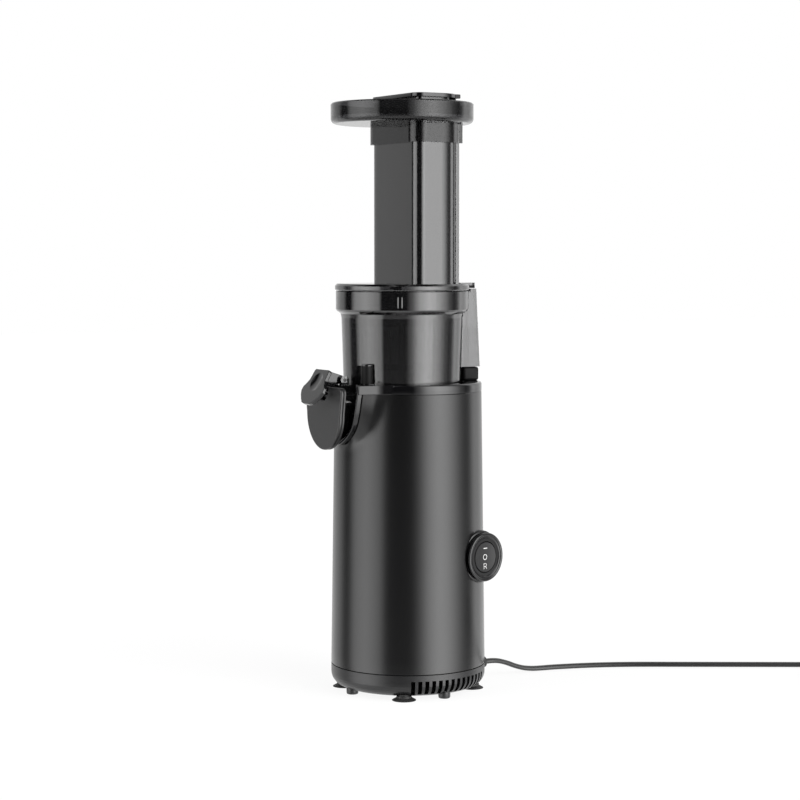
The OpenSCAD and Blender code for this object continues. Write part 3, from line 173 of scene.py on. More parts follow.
# Shapes: helpers for meshes, curves and outlines
def new_object(name, points, faces):
    """An object from points in millimetres, with its faces turned outwards."""
    me = bpy.data.meshes.new(name)
    me.from_pydata([tuple(p * MM) for p in points], [], faces)
    me.validate()
    me.update()
    b = bmesh.new()
    b.from_mesh(me)
    bmesh.ops.recalc_face_normals(b, faces=b.faces)
    b.to_mesh(me)
    b.free()
    obj = bpy.data.objects.new(name, me)
    scene.collection.objects.link(obj)
    return obj


def smooth(obj, degrees):
    """Smooth shading with edges sharper than degrees kept sharp."""
    me = obj.data
    b = bmesh.new()
    b.from_mesh(me)
    for f in b.faces:
        f.smooth = True
    for e in b.edges:
        e.smooth = len(e.link_faces) == 2 and e.calc_face_angle(0) < math.radians(degrees)
    b.to_mesh(me)
    b.free()


def mesh(name, points, faces, body, slot, degrees=32):
    obj = new_object(name, points, faces)
    smooth(obj, degrees)
    dress(obj, slot)
    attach(obj, body)
    return obj


def bevel(obj, width, segments=3, degrees=40):
    m = obj.modifiers.new("edge", "BEVEL")
    m.width = width * MM
    m.segments = segments
    m.limit_method = "ANGLE"
    m.angle_limit = math.radians(degrees)
    m.harden_normals = False
    return obj


def carve(obj, *cutters):
    """Cuts the cutters out of obj for good."""
    for c in cutters:
        m = obj.modifiers.new("cut", "BOOLEAN")
        m.operation = "DIFFERENCE"
        m.solver = "EXACT"
        m.object = c
    bpy.context.view_layer.update()
    made = bpy.data.meshes.new_from_object(obj.evaluated_get(bpy.context.evaluated_depsgraph_get()))
    obj.modifiers.clear()
    obj.data = made
    for c in cutters:
        bpy.data.objects.remove(c)


def stacked_faces(n, levels=2):
    """Faces of an outline of n points drawn at several levels: both ends, and the sides between levels."""
    last = (levels - 1) * n
    faces = [list(range(n)), list(range(last + n - 1, last - 1, -1))]
    for low in range(0, last, n):
        faces += [[low + i, low + (i + 1) % n, low + n + (i + 1) % n, low + n + i] for i in range(n)]
    return faces


def lathe(name, profile, body, slot, steps=128, place=lambda p: p, degrees=32):
    """A turned solid. The profile goes round its section, and its points are radius and height."""
    n = len(profile)
    points, faces = [], []
    for i in range(steps):
        a = 2 * math.pi * i / steps
        j = (i + 1) % steps
        points += [place(Vector((r * math.cos(a), r * math.sin(a), z))) for r, z in profile]
        faces += [[i * n + k, j * n + k, j * n + (k + 1) % n, i * n + (k + 1) % n] for k in range(n)]
    return mesh(name, points, faces, body, slot, degrees)


def arc_points(cx, cy, rx, ry, start, end, steps):
    """Points of an arc round (cx, cy), both ends included. A negative radius mirrors it."""
    angles = [math.radians(start + (end - start) * i / steps) for i in range(steps + 1)]
    return [(cx + rx * math.cos(a), cy + ry * math.sin(a)) for a in angles]


def catmull(points, parts):
    """A smooth curve through all points, with parts pieces between each two of them."""
    out = []
    for i in range(len(points) - 1):
        a = points[max(i - 1, 0)]
        b, c = points[i], points[i + 1]
        d = points[min(i + 2, len(points) - 1)]
        for k in range(parts):
            t = k / parts
            bend = (2 * a - 5 * b + 4 * c - d) * t * t + (3 * b - a - 3 * c + d) * t ** 3
            out.append(0.5 * (2 * b + (c - a) * t + bend))
    out.append(points[-1])
    return out


def flat_then_round(start, end, leave, arrive, steps, flat_share):
    """Points that go straight in the direction leave, then in a soft curve that arrives in the other one."""
    flat_steps = steps // 3
    turn = start + leave * (end - start).length * flat_share
    reach = (end - turn).length
    out = [start.lerp(turn, k / flat_steps) for k in range(flat_steps)]
    for k in range(steps - flat_steps + 1):
        t = k / (steps - flat_steps)
        place = turn * (2 * t ** 3 - 3 * t * t + 1) + end * (3 * t * t - 2 * t ** 3)
        swing = leave * reach * (t ** 3 - 2 * t * t + t) + arrive * reach * (t ** 3 - t * t)
        out.append(place + swing)
    return out


def turned(points, quarter):
    """Turns points by a quarter turn from the juice side (-Y) to the pulp side (-X)."""
    return [Vector((p.y, -p.x, p.z)) for p in points] if quarter else points


# Lead: a given route, a flat coil outside the picture that climbs over its own turns, and the way
# to the plug
ROUTE = [
    (0, 61, 11.5), (0, 67, 11.5), (-0.5, 73, 10.7), (-1, 80, 8.6), (-1.5, 87, 5.8), (-2, 94, 3.6),
    (-2, 101, 2.4), (-1.5, 108, 2), (0, 118, 2), (3, 130, 2), (7, 143, 2), (12, 156, 2), (18, 169, 2),
    (25, 182, 2), (32, 194, 2), (39, 206, 2), (46, 218, 2), (53, 230, 2), (60, 242, 2), (67, 254, 2),
    (74, 266, 2), (81, 278, 2), (88, 290, 2), (95, 302, 2),
]
ROUTE_PARTS = 3
CORD_W = 5.6
CORD_T = 3.4
CORD_SIDES = 16
SIDE_POWER = 0.72
FACE_POWER = 0.86
COIL_R = 40
COIL_PITCH = 6.1
COIL_TURNS = 3
COIL_STEPS = 24
CLIMB_TURNS = 0.4
CLIMB_H = 4.1
PLUG_GAP = 46
PLUG_Z = 7
RISE_STEPS = 7


def eased(share):
    return (1 - math.cos(math.pi * share)) / 2


def coil_points(start, along):
    """The coil from start, first in the direction along, then its straight way out to the plug."""
    side = along.cross(UP)
    middle = start + along * CORD_W + side * COIL_R
    points = []
    for i in range(COIL_TURNS * COIL_STEPS + 1):
        turns = i / COIL_STEPS
        a = 2 * math.pi * turns
        climb = CLIMB_H * eased(max(0, (turns - COIL_TURNS + CLIMB_TURNS) / CLIMB_TURNS))
        outwards = along * math.sin(a) - side * math.cos(a)
        points.append(middle + UP * climb + outwards * (COIL_R - COIL_PITCH * turns))
    out = points[-1]
    for i in range(1, RISE_STEPS + 1):
        f = i / RISE_STEPS
        points.append(out + along * (PLUG_GAP - CORD_W) * f + UP * (PLUG_Z - out.z) * eased(f))
    points.append(out + along * PLUG_GAP + UP * (PLUG_Z - out.z))
    return points


def rounded(value, power):
    return math.copysign(abs(value) ** power, value)


def cord_section(path, i):
    """A flat section with round edges, square to the path at its point i."""
    ahead = (path[min(i + 1, len(path) - 1)] - path[max(i - 1, 0)]).normalized()
    across = ahead.cross(UP).normalized()
    above = across.cross(ahead)
    points = []
    for k in range(CORD_SIDES):
        a = 2 * math.pi * (k + 0.5) / CORD_SIDES
        sideways = across * rounded(math.cos(a), SIDE_POWER) * CORD_W / 2
        points.append(path[i] + sideways + above * rounded(math.sin(a), FACE_POWER) * CORD_T / 2)
    return points


route = [Vector(p) for p in ROUTE]
lead_path = catmull(route, ROUTE_PARTS) + coil_points(route[-1], (route[-1] - route[-2]).normalized())
lead_points = [p for i in range(len(lead_path)) for p in cord_section(lead_path, i)]
lead = mesh("lead", lead_points, stacked_faces(CORD_SIDES, len(lead_path)), "base", "cord_black",
            degrees=60)
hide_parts("power_cord", "cord_coil")

# Base: the round body's sizes, and the flat noses that carry the spouts at -Y and -X
BASE_R = 52
BASE_TOP_R = 49.4
SEAM_Z = 17.6
COLLAR_Z = 202
COLLAR_TOP = 208
NOSE_Y = 49.99
SPOUT_Z = 188.5
SPOUTS = ((0, "juice"), (1, "pulp"))

# Half of the spout ring's U, as height and half width
U_HALF = [
    (208, 29.6), (202, 28.2), (197, 26.9), (192.8, 25.7), (188.5, 24.4), (185.8, 23.4), (183.0, 22.2),
    (180.4, 20.7), (178, 18.9), (175.8, 16.7), (173.8, 14.3), (172, 11.7), (170, 8.4), (168.4, 5.2),
    (167.3, 2.4), (167, 0),
]
U_PARTS = 12
ROUNDING = 1e-6
U_STEPS = 34
RING_T = 4.15
RING_WALL = 2.3
RING_GROOVE = 0.55
RING_ROUND = 0.6
NECK_INSET = 0.9
NECK_REACH = 1.5
NECK_ROUND = 0.2


def body_r(z):
    """The tapered body's radius at a height."""
    return BASE_R + (BASE_TOP_R - BASE_R) * (z - SEAM_Z) / (COLLAR_Z - SEAM_Z)


def u_half(top):
    """The U's half outline below a height, evenly divided on a smooth curve, from top to bottom."""
    fine = [p for p in catmull([Vector((x, z)) for z, x in U_HALF], U_PARTS) if p.y <= top + ROUNDING]
    lengths = [0]
    for a, b in zip(fine, fine[1:]):
        lengths.append(lengths[-1] + (b - a).length)
    out = []
    j = 0
    for i in range(U_STEPS):
        want = lengths[-1] * i / U_STEPS
        while j < len(lengths) - 2 and lengths[j + 1] < want:
            j += 1
        q = fine[j].lerp(fine[j + 1], (want - lengths[j]) / (lengths[j + 1] - lengths[j]))
        out.append((q.x, q.y))
    return out + [(0.0, fine[-1].y)]


def inset_half(half, wall):
    """The same half outline moved inwards by wall."""
    out = []
    for i in range(len(half) - 1):
        x, z = half[i]
        before, after = half[max(i - 1, 0)], half[i + 1]
        ahead = Vector((after[0] - before[0], after[1] - before[1])).normalized()
        out.append((x + ahead.y * wall, z - ahead.x * wall))
    return out + [(0.0, half[-1][1] + wall)]


def both_sides(half):
    return half + [(-x, z) for x, z in reversed(half[:-1])]


# Cheeks: height and degrees from the spout's middle where a cheek meets the round shell
CHEEK_END = [
    (202, 49), (198, 48.3), (188, 46), (181.5, 43.5), (175, 39), (170, 33.5), (166, 25), (163.2, 15),
    (162.2, 7), (162, 0),
]
CHEEK_PARTS = 8
CHEEK_STEPS = 18
CHEEK_FLAT = 0.4
CHEEK_END_OVER = 0.04
CHEEK_LEAST_OVER = 0.03
# A cheek leaves the ring with these shares of the straight way to its end. The first one shrinks
# towards the top.
LEAVE_X = 0.72
LEAVE_Y = 1.04
LEAVE_Z = 0.9
LEAVE_X_LESS = 0.12
HIGH_FROM = 180
HIGH_SPAN = 16


def cheek_row(start, degrees, end_z):
    """One row of a cheek, from the ring's edge back to the shell and nowhere below the shell's face."""
    outwards = level_direction(degrees)
    end = outwards * (body_r(end_z) + CHEEK_END_OVER) + UP * end_z
    way = end - start
    high = min(1, max(0, (start.z - HIGH_FROM) / HIGH_SPAN))
    leave = Vector((way.x * (LEAVE_X - LEAVE_X_LESS * high), way.y * LEAVE_Y, way.z * LEAVE_Z)).normalized()
    arrive = (way - outwards * way.dot(outwards)).normalized()
    row = []
    for q in flat_then_round(start, end, leave, arrive, CHEEK_STEPS, CHEEK_FLAT):
        push = max(1, (body_r(q.z) + CHEEK_LEAST_OVER) / math.hypot(q.x, q.y))
        row.append(Vector((q.x * push, q.y * push, q.z)))
    return row


def nose_cheeks(name, quarter):
    """The smooth cheeks that run from the spout's ring back into the shell."""
    half = u_half(COLLAR_Z)
    ends = catmull([Vector((degrees, z)) for z, degrees in CHEEK_END], CHEEK_PARTS)
    points, faces = [], []
    for s in (1, -1):
        for i, (x, z) in enumerate(half):
            f = i / (len(half) - 1) * (len(ends) - 1)
            end = ends[int(f)].lerp(ends[min(int(f) + 1, len(ends) - 1)], f - int(f))
            if i < len(half) - 1:
                first = len(points)
                after = first + CHEEK_STEPS + 1
                faces += [[first + k, first + k + 1, after + k + 1, after + k] for k in range(CHEEK_STEPS)]
            points += [Vector((q.x * s, q.y, q.z)) for q in cheek_row(Vector((x, -NOSE_Y, z)), *end)]
    return mesh(name, turned(points, quarter), faces, "base", "satin_black", degrees=60)


def u_band(name, outer, inner, y0, y1, quarter, slot, edge):
    """A U band between two outlines, from y0 to y1, with rounded edges."""
    n = len(outer)
    points = [Vector((x, y, z)) for y in (y0, y1) for outline in (outer, inner) for x, z in outline]
    faces = []
    for a in range(n - 1):
        b = a + 1
        faces.append([a, b, n + b, n + a])
        faces.append([2 * n + a, 3 * n + a, 3 * n + b, 2 * n + b])
        faces.append([a, 2 * n + a, 2 * n + b, b])
        faces.append([n + a, n + b, 3 * n + b, 3 * n + a])
    for e in (0, n - 1):
        faces.append([e, n + e, 3 * n + e, 2 * n + e])
    return bevel(mesh(name, turned(points, quarter), faces, "base", slot, degrees=40), edge)


for quarter, spout in SPOUTS:
    nose_cheeks("nose_cheeks_" + spout, quarter)

ring_half = u_half(COLLAR_TOP)
ring_out = both_sides(ring_half)
ring_in = both_sides(inset_half(ring_half, RING_WALL))
neck_out = both_sides(inset_half(u_half(COLLAR_Z), NECK_INSET))
neck_in = both_sides(inset_half(u_half(COLLAR_Z), RING_WALL))
for quarter, spout in SPOUTS:
    u_band("spout_ring_" + spout, ring_out, ring_in, -NOSE_Y - RING_GROOVE, -NOSE_Y - RING_T, quarter,
           "gloss_black", RING_ROUND)
    u_band("spout_neck_" + spout, neck_out, neck_in, -NOSE_Y + NECK_REACH, -NOSE_Y - NECK_REACH, quarter,
           "satin_black", NECK_ROUND)


# Collar wings: where the wing starts at the ring, and where it meets the round collar
WING_X = 29.75
WING_DEG = 49.5
WING_R = 49.46
WING_LEAVE = Vector((0.21, 0.978))
WING_STEPS = 18
WING_FLAT = 0.5
WING_BACK_R = 41.5
WING_BACK_FROM = 45
WING_BACK_TO = 64
WING_BACK_STEPS = 8
WING_BACK_X = 27.9
WING_OVERLAP = 0.1
WING_LOW = COLLAR_Z + 0.02
WING_TOP = COLLAR_TOP - 0.03
WING_ROUND = 0.35


def collar_wing(name, quarter, s):
    """The collar's own flare over a cheek, between the ring and the round collar."""
    ring_y = -NOSE_Y - RING_T + WING_OVERLAP
    end = level_direction(WING_DEG).xy * WING_R
    arrive = level_direction(WING_DEG + 90).xy
    front = flat_then_round(Vector((WING_X, ring_y)), end, WING_LEAVE, arrive, WING_STEPS, WING_FLAT)
    back = arc_points(0, 0, WING_BACK_R, -WING_BACK_R, WING_BACK_FROM, WING_BACK_TO, WING_BACK_STEPS)
    outline = [tuple(p) for p in front] + back + [(WING_BACK_X, ring_y)]
    points = turned([Vector((s * x, y, z)) for z in (WING_LOW, WING_TOP) for x, y in outline], quarter)
    wing = mesh(name, points, stacked_faces(len(outline)), "base", "gloss_black", degrees=50)
    return bevel(wing, WING_ROUND, segments=2)


for quarter, spout in SPOUTS:
    collar_wing(f"collar_wing_{spout}_near", quarter, 1)
    collar_wing(f"collar_wing_{spout}_far", quarter, -1)


# Cap: a plate of two layers with leaning sides, rounded shoulders and a notch under the lever's link
PLATE_FRONT = -64.75
PLATE_BACK = -60.6
PLATE_SPLIT = PLATE_FRONT + 2.4
PLATE_TOP = 206.4
PLATE_HALF = 23.0
PLATE_DROP = 23.9
PLATE_LEAN = 0.17
PLATE_EDGE = 0.7
BACK_SHARE = 0.997
BACK_DOWN = 0.05
BACK_OVERLAP = 0.02
BACK_EDGE = 0.5
SIDE_STEPS = 6
BOTTOM_STEPS = 28
SHOULDER_R = 4
SHOULDER_STEPS = 8
NOTCH_R = 7
NOTCH_DOWN = 2
NOTCH_STEPS = 20


def cap_layer(name, outline, y0, y1, edge):
    points = [Vector((x, y, z)) for y in (y0, y1) for x, z in outline]
    layer = mesh(name, points, stacked_faces(len(outline)), "spout_cap", "black_plastic", degrees=40)
    return bevel(layer, edge)


def cap_plate():
    side_top = PLATE_TOP - SHOULDER_R
    # the straight side has steps so that its shading stays even
    heights = [side_top + (SPOUT_Z - side_top) * i / SIDE_STEPS for i in range(SIDE_STEPS)]
    side = [(PLATE_HALF + PLATE_LEAN * (z - SPOUT_Z), z) for z in heights]
    bottom = arc_points(0, SPOUT_Z, PLATE_HALF, -PLATE_DROP, 0, 90, BOTTOM_STEPS)
    shoulder_x = side[0][0] - SHOULDER_R
    shoulder = arc_points(shoulder_x, side_top, SHOULDER_R, SHOULDER_R, 90, 0, SHOULDER_STEPS)
    notch = arc_points(0, PLATE_TOP - NOTCH_DOWN, NOTCH_R, -NOTCH_R, 180, 0, NOTCH_STEPS)
    right = shoulder[:-1] + side + bottom
    left = [(-x, z) for x, z in reversed(right[:-1])]
    front_line = [(NOTCH_R, PLATE_TOP)] + right + left + [(-NOTCH_R, PLATE_TOP)] + notch
    front = cap_layer("cap_plate_front", front_line, PLATE_SPLIT, PLATE_FRONT, PLATE_EDGE)
    back_line = [(0, PLATE_TOP - BACK_DOWN)] + [(x * BACK_SHARE, z) for x, z in right + left]
    cap_layer("cap_plate_back", back_line, PLATE_BACK, PLATE_SPLIT - BACK_OVERLAP, BACK_EDGE)
    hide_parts("juice_cap")


cap_plate()


# Switch: its axis leaves the base between +X and +Y
SWITCH_DEG = 15
SWITCH_SIDE = 20.4
SWITCH_Z = 92
PAD_FACE = 47.9
PAD_R = 17.5
WELL_R = 12.8
WELL_FROM = 20
CUT_FAR = 80
CUT_STEPS = 96


def on_switch(p):
    """Local x down, y across, z outwards along the switch's axis."""
    out = level_direction(90 + SWITCH_DEG)
    across = level_direction(180 + SWITCH_DEG)
    return out * p.z + across * (SWITCH_SIDE + p.y) + UP * (SWITCH_Z - p.x)


def switch_cutter(r, start):
    circle = arc_points(0, 0, r, r, 0, 360, CUT_STEPS)[:-1]
    points = [on_switch(Vector((x, y, h))) for h in (start, CUT_FAR) for x, y in circle]
    return new_object("cutter", points, stacked_faces(len(circle)))


SLOT_FRONT = -70
SLOT_BACK = -34
SLOT_TOP = 214


def slot_cutters():
    """A cutter for each spout's opening, which runs up through the collar."""
    opening = [(neck_in[0][0], SLOT_TOP)] + neck_in + [(neck_in[-1][0], SLOT_TOP)]
    points = [Vector((x, y, z)) for y in (SLOT_FRONT, SLOT_BACK) for x, z in opening]
    faces = stacked_faces(len(opening))
    return [new_object("cutter", turned(points, quarter), faces) for quarter, spout in SPOUTS]


# Shell: a turned skin with a fine groove over the base cap, open at both spouts and at the switch.
# Its foot and head give the distance from the body's face and the height.
SKIN_FOOT = [(2.2, 17.62), (0.9, 17.62), (0.45, 17.8), (0.12, 18.2)]
SKIN_HEAD = [(0.25, 201.85), (0.6, 202), (2.2, 202)]
SKIN_LOW = 19
SKIN_HIGH = 201.4
SKIN_STEPS = 24


def shell_skin():
    heights = [SKIN_LOW + (SKIN_HIGH - SKIN_LOW) * i / SKIN_STEPS for i in range(SKIN_STEPS + 1)]
    profile = [(BASE_R - inset, z) for inset, z in SKIN_FOOT] + [(body_r(z), z) for z in heights]
    profile += [(BASE_TOP_R - inset, z) for inset, z in SKIN_HEAD]
    skin = lathe("shell_skin", profile, "base", "satin_black", steps=256)
    carve(skin, *slot_cutters(), switch_cutter(PAD_R, PAD_FACE), switch_cutter(WELL_R, WELL_FROM))
    smooth(skin, degrees=25)
    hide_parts("base_shell")


shell_skin()

# Switch boss and ring, as radius and height on the switch's axis
BOSS_PROFILE = [
    (WELL_R, 36), (PAD_R, 36), (PAD_R, PAD_FACE - 0.3), (PAD_R - 0.3, PAD_FACE), (WELL_R, PAD_FACE),
]
BEZEL_PROFILE = [
    (12.75, 49), (12.75, 52.35), (13.0, 52.6), (14.0, 52.6), (14.2, 52.75), (14.35, 53.3), (14.8, 53.6),
    (15.5, 53.6), (16.0, 53.35), (16.3, 52.8), (16.3, 51.2), (15.9, 50.6), (15.3, 50.3), (15.3, 49.5),
    (16.6, 49.4), (17.05, 49.1), (17.15, 48.6), (17.1, 48.1), (16.9, 47.95), (14, 47.95),
]
lathe("switch_boss", BOSS_PROFILE, "base", "satin_black", steps=96, place=on_switch)
bezel = lathe("switch_ring", BEZEL_PROFILE, "base", "gloss_black", steps=128, place=on_switch, degrees=40)
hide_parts("switch_bezel")

# White marks in the rocker's hollow face: a bar, a ring and an R
DISH_R = 88.9
DISH_LOW = 52.13
INK_GAP = 0.06
INK_T = 0.08


def on_rocker(x, y):
    """x to the right and y up on the rocker's face."""
    return on_switch(Vector((-y, x, DISH_LOW + (x * x + y * y) / (2 * DISH_R) + INK_GAP))) * MM


def mark(name, pieces):
    b = bmesh.new()
    for loop in pieces:
        b.faces.new([b.verts.new(on_rocker(x, y)) for x, y in loop])
    bmesh.ops.triangulate(b, faces=b.faces)
    me = bpy.data.meshes.new(name)
    b.to_mesh(me)
    b.free()
    obj = bpy.data.objects.new(name, me)
    scene.collection.objects.link(obj)
    ink = obj.modifiers.new("ink", "SOLIDIFY")
    ink.thickness = INK_T * MM
    dress(obj, "mark_white")
    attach(obj, "switch_rocker")


def stroke(x0, y0, x1, y1):
    return [(x0, y0), (x1, y0), (x1, y1), (x0, y1)]


def round_stroke(cx, cy, r, width, start, end, steps):
    outer = arc_points(cx, cy, r, r, start, end, steps)
    inner = arc_points(cx, cy, r - width, r - width, start, end, steps)
    return [[outer[i], outer[i + 1], inner[i + 1], inner[i]] for i in range(steps)]


R_LEG = [(0.0, -6.4), (0.45, -6.4), (1.5, -7.9), (1.02, -7.9)]
mark("mark_bar", [stroke(-1.85, 5.6, 1.85, 6.2)])
mark("mark_ring", round_stroke(0, 0, 1.9, 0.42, 0, 360, 32))
mark("mark_r", [stroke(-1.45, -7.9, -1.05, -4.2), stroke(0.4, -4.58, -1.05, -4.2),
                stroke(0.4, -6.4, -1.05, -6.02), R_LEG] + round_stroke(0.4, -5.3, 1.1, 0.38, -90, 90, 12))

# Collar: a polished turned band with its column pad, and the dark sleeve of the bowl's peg
COLLAR_PROFILE = [
    (40.1, 202.02), (49.45, 202.02), (49.5, 202.4), (49.5, 206.6), (49.3, 207.3), (48.8, 207.8), (48.1, 208),
    (40.5, 208), (40.1, 207.6),
]
PAD_HALF = 14
PAD_INNER_Y = 35.6
PAD_LOW = 207.9
PAD_HIGH = 217
PAD_ROUND = 1.6
PAD_STEPS = 12
PEG_PLACE = Vector((18.2, -41.5, 0))
PEG_PROFILE = [(0.01, 208.35), (3.95, 208.35), (3.98, 220.2), (3.6, 220.75), (2.9, 221.05), (0.01, 221.1)]


def column_pad():
    half_deg = math.degrees(math.asin(PAD_HALF / BASE_TOP_R))
    rim = arc_points(0, 0, BASE_TOP_R, BASE_TOP_R, 90 - half_deg, 90 + half_deg, PAD_STEPS)
    outline = [(-PAD_HALF, PAD_INNER_Y), (PAD_HALF, PAD_INNER_Y)] + rim
    points = [Vector((x, y, z)) for z in (PAD_LOW, PAD_HIGH) for x, y in outline]
    pad = mesh("column_pad", points, stacked_faces(len(outline)), "base", "matt_black", degrees=40)
    bevel(pad, PAD_ROUND)


collar = lathe("collar_band", COLLAR_PROFILE, "base", "gloss_black", steps=224, degrees=40)
carve(collar, *slot_cutters())
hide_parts("collar_trim")
column_pad()
lathe("peg_sleeve", PEG_PROFILE, "bowl", "matt_black", steps=48, place=lambda p: p + PEG_PLACE)
dress(nodes["cap_pin"], "black_plastic")
nodes["feed_tray"].data.materials[0] = MATS["smoked_tray"]
nodes["cap_seal"].data.materials[0] = MATS["matt_black"]

# Feet: stub legs with flat rounded ends, and the necks of the suction cups
LEG_AWAY = 44.2
LEG_DEG = 3
LEG_PROFILE = [(0.01, 0.2), (3.1, 0.2), (3.7, 0.45), (4.0, 1.1), (4.1, 5.6), (0.01, 5.6)]
CUP_AWAY = 43.2
CUP_DEG = 56.6
CUP_PROFILE = [(0.01, 1.9), (5.6, 1.45), (4.5, 2.0), (4.2, 2.6), (4.2, 4.9), (0.01, 5.0)]


def foot(name, profile, slot, away, degrees):
    stand = level_direction(degrees) * away
    lathe(name, profile, "base", slot, steps=32, place=lambda p: p + stand)


for i in range(4):
    foot(f"stub_leg_{i + 1}", LEG_PROFILE, "black_plastic", LEG_AWAY, LEG_DEG + 90 * i)
    foot(f"cup_neck_{i + 1}", CUP_PROFILE, "rubber_black", CUP_AWAY, CUP_DEG + 90 * i)

# Pusher head: a thin plate with a set-back neck. Each level stands out from the solid head's outline
# by the first number and lies below its top by the second.
HEAD_LEVELS = [
    (-2.4, 5.0), (-2.4, 3.65), (0.6, 3.65), (0.95, 3.4), (1.0, 3.1), (1.0, 1.4), (0.85, 1.05), (0.5, 0.9),
]
SAME_PLACE = 0.01


def head_plate():
    solid = nodes["pusher_head"]
    corners = [solid.matrix_world @ v.co / MM for v in solid.data.vertices]
    top = max(p.z for p in corners)
    corners = [p for p in corners if p.z > top - SAME_PLACE]
    middle = sum(corners, Vector()) / len(corners)
    corners.sort(key=lambda p: math.atan2(p.y - middle.y, p.x - middle.x))
    outline = [p for i, p in enumerate(corners) if (p - corners[i - 1]).length > SAME_PLACE]
    n = len(outline)
    points = []
    for wider, below in HEAD_LEVELS:
        for i, p in enumerate(outline):
            along = (outline[(i + 1) % n] - outline[i - 1]).normalized()
            points.append(Vector((p.x + along.y * wider, p.y - along.x * wider, top - below)))
    plate = mesh("head_plate", points, stacked_faces(n, len(HEAD_LEVELS)), "pusher", slot_of["pusher_head"])
    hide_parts("pusher_head")


head_plate()

# Two raised lines on the bowl's rim, which stands round the bowl's own axis. Their light grey colour is a
# painted highlight
BOWL_Y = -4.6
RIM_R = 44.4
RIM_IN = 43.9
RIM_OUT = 44.75
RIM_LOW = 258.2
RIM_HIGH = 265.2
RIM_LINE_HALF = 0.32
RIM_LINE_ROUND = 0.14


def rim_line(name, offset):
    """A line that stands aside by offset from the direction of the camera."""
    outline = []
    for r, aside in ((RIM_IN, -1), (RIM_OUT, -1), (RIM_OUT, 1), (RIM_IN, 1)):
        turn = math.degrees((offset + aside * RIM_LINE_HALF) / RIM_R)
        outline.append(level_direction(VIEW_DEG + turn) * r + Vector((0, BOWL_Y, 0)))
    points = [p + UP * z for z in (RIM_LOW, RIM_HIGH) for p in outline]
    made = mesh(name, points, stacked_faces(len(outline)), "bowl", "rim_painted_highlight", degrees=30)
    bevel(made, RIM_LINE_ROUND, segments=2)


rim_line("rim_line_left", -2.5)
rim_line("rim_line_right", 0.1)


LEVER_VOXEL = 0.28
LEVER_TURNS = 5
TURN_SHARE = 0.5


def soften(obj, voxel, turns):
    """Rounds a CAD solid's edges by a fine remesh and a little smoothing."""
    fine = obj.modifiers.new("fine", "REMESH")
    fine.mode = "VOXEL"
    fine.voxel_size = voxel * MM
    fine.use_smooth_shade = True
    soft = obj.modifiers.new("soft", "SMOOTH")
    soft.factor = TURN_SHARE
    soft.iterations = turns


soften(nodes["cap_lever"], LEVER_VOXEL, LEVER_TURNS)


# Light: helpers for node trees
def empty_tree(owner):
    owner.use_nodes = True
    owner.node_tree.nodes.clear()
    return owner.node_tree


def put(tree, value, socket):
    """Links another node's output to the socket, or sets it to a plain value."""
    if isinstance(value, bpy.types.NodeSocket):
        tree.links.new(value, socket)
    else:
        socket.default_value = value


def maths(tree, operation, a, b):
    node = tree.nodes.new("ShaderNodeMath")
    node.operation = operation
    put(tree, a, node.inputs[0])
    put(tree, b, node.inputs[1])
    return node.outputs[0]


def dot(tree, direction, vector):
    node = tree.nodes.new("ShaderNodeVectorMath")
    node.operation = "DOT_PRODUCT"
    put(tree, direction, node.inputs[0])
    put(tree, vector, node.inputs[1])
    return node.outputs["Value"]


def soft_step(tree, value, from_min, from_max, to_min, to_max):
    node = tree.nodes.new("ShaderNodeMapRange")
    node.interpolation_type = "SMOOTHSTEP"
    put(tree, value, node.inputs["Value"])
    node.inputs["From Min"].default_value = from_min
    node.inputs["From Max"].default_value = from_max
    node.inputs["To Min"].default_value = to_min
    node.inputs["To Max"].default_value = to_max
    return node.outputs["Result"]


def mixed(tree, share, first, second):
    node = tree.nodes.new("ShaderNodeMixShader")
    put(tree, share, node.inputs["Fac"])
    put(tree, first, node.inputs[1])
    put(tree, second, node.inputs[2])
    return node.outputs[0]


def background(tree, strength):
    node = tree.nodes.new("ShaderNodeBackground")
    node.inputs["Color"].default_value = (1, 1, 1, 1)
    put(tree, strength, node.inputs["Strength"])
    return node.outputs[0]


def in_view(tree, rays):
    """1 for what the camera sees, directly or through the smoked pieces, and 0 for all else."""
    return maths(tree, "MAXIMUM", rays.outputs["Is Camera Ray"], rays.outputs["Is Transmission Ray"])


# The studio is a round wall of light and dark bands that only the part sees. The camera sees white.
# Each stop is a direction in degrees, 0 towards the camera and positive to the right, and a share of BRIGHT.
BRIGHT = 6.2
STOPS = [
    (-180, 0.14), (-122, 0.13), (-112, 0.0), (-100, 0.0), (-88, 0.4), (-66, 0.6), (-52, 0.48), (-41, 0.34),
    (-35, 0.0), (8, 0.0), (19, 0.2), (31, 0.68), (48, 1.0), (62, 0.82), (78, 0.4), (90, 0.12), (102, 0.02),
    (110, 0.06), (121, 0.3), (134, 0.18), (180, 0.14),
]
TABLE_BRIGHT = 1.2
# Two heights, as the sine of the angle over the horizon, and the values before the first and past the second
OVERHEAD_FADE = (0.62, 0.9, 1.0, 0.3)
TABLE_SHARE = (-0.4, -0.62, 0.0, 1.0)
LOW_GLOW = (-0.08, -0.19, 0.0, 0.3)


def light_bands(tree, direction):
    """The wall's share of BRIGHT all round."""
    turn = maths(tree, "ARCTAN2", dot(tree, direction, to_right), dot(tree, direction, to_camera))
    bands = tree.nodes.new("ShaderNodeValToRGB")
    put(tree, maths(tree, "ADD", maths(tree, "DIVIDE", turn, 2 * math.pi), 0.5), bands.inputs["Fac"])
    elements = bands.color_ramp.elements
    for i, (degrees, share) in enumerate(STOPS):
        place = degrees / 360 + 0.5
        stop = elements[i] if i < 2 else elements.new(place)
        stop.position = place
        stop.color = (share, share, share, 1)
    return bands.outputs["Color"]


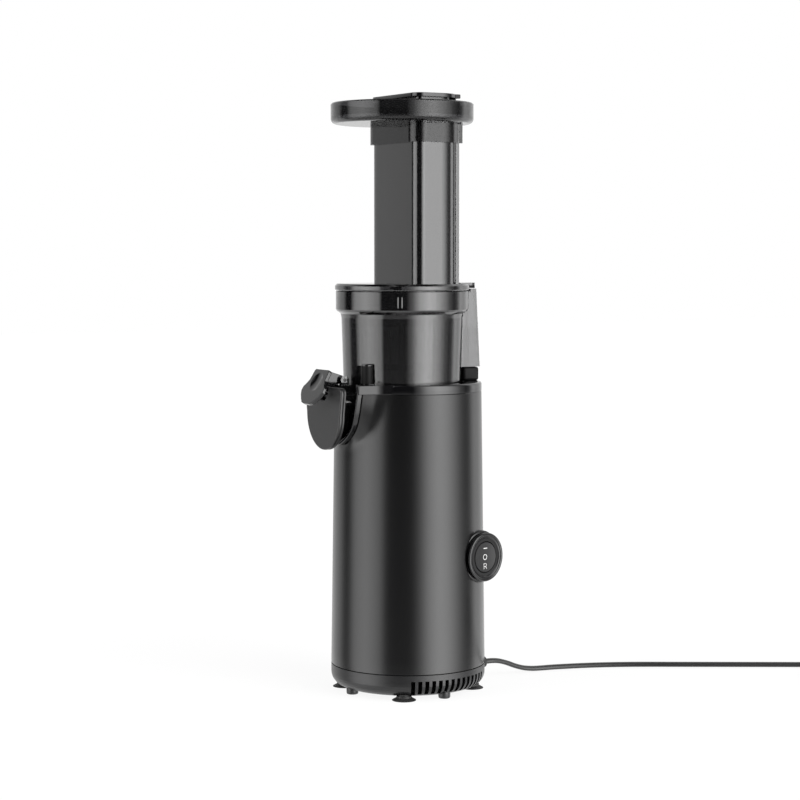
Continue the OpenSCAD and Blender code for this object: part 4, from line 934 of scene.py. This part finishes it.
def studio_light(tree):
    """The wall fades out overhead, glows faintly below the horizon, and gives way to the white table."""
    direction = tree.nodes.new("ShaderNodeTexCoord").outputs["Generated"]
    parts = tree.nodes.new("ShaderNodeSeparateXYZ")
    put(tree, direction, parts.inputs[0])
    height = parts.outputs["Z"]
    overhead = soft_step(tree, height, *OVERHEAD_FADE)
    table = soft_step(tree, height, *TABLE_SHARE)
    glow = soft_step(tree, height, *LOW_GLOW)
    wall = maths(tree, "MULTIPLY", maths(tree, "MULTIPLY", light_bands(tree, direction), BRIGHT), overhead)
    wall = maths(tree, "MULTIPLY", maths(tree, "ADD", wall, glow), maths(tree, "SUBTRACT", 1.0, table))
    return maths(tree, "ADD", wall, maths(tree, "MULTIPLY", table, TABLE_BRIGHT))


world = bpy.data.worlds.new("studio")
scene.world = world
sky = empty_tree(world)
sky_rays = sky.nodes.new("ShaderNodeLightPath")
sky_mix = mixed(sky, in_view(sky, sky_rays), background(sky, studio_light(sky)), background(sky, 1.0))
put(sky, sky_mix, sky.nodes.new("ShaderNodeOutputWorld").inputs["Surface"])

# Floor: white in view, less a faint shadow of the part, while the part's gloss mostly sees the studio
FLOOR_HALF = 6000
FLOOR_GREY = 0.55
FLOOR_WHITE = 1.12
WHITE_SHARE = 0.8
GLOSS_CLEAR = 0.9


def floor_material():
    made = bpy.data.materials.new("floor")
    tree = empty_tree(made)
    rays = tree.nodes.new("ShaderNodeLightPath")
    diffuse = tree.nodes.new("ShaderNodeBsdfDiffuse")
    diffuse.inputs["Color"].default_value = (FLOOR_GREY, FLOOR_GREY, FLOOR_GREY, 1)
    shine = tree.nodes.new("ShaderNodeEmission")
    shine.inputs["Strength"].default_value = FLOOR_WHITE
    clear = tree.nodes.new("ShaderNodeBsdfTransparent")
    white_share = maths(tree, "MULTIPLY", in_view(tree, rays), WHITE_SHARE)
    shown = mixed(tree, white_share, diffuse.outputs[0], shine.outputs[0])
    clear_share = maths(tree, "MULTIPLY", rays.outputs["Is Glossy Ray"], GLOSS_CLEAR)
    whole = mixed(tree, clear_share, shown, clear.outputs[0])
    put(tree, whole, tree.nodes.new("ShaderNodeOutputMaterial").inputs["Surface"])
    return made


floor_corners = [Vector((x * FLOOR_HALF, y * FLOOR_HALF, 0)) for x, y in ((-1, -1), (1, -1), (1, 1), (-1, 1))]
floor = new_object("floor", floor_corners, [(0, 1, 2, 3)])
floor.data.materials.append(floor_material())
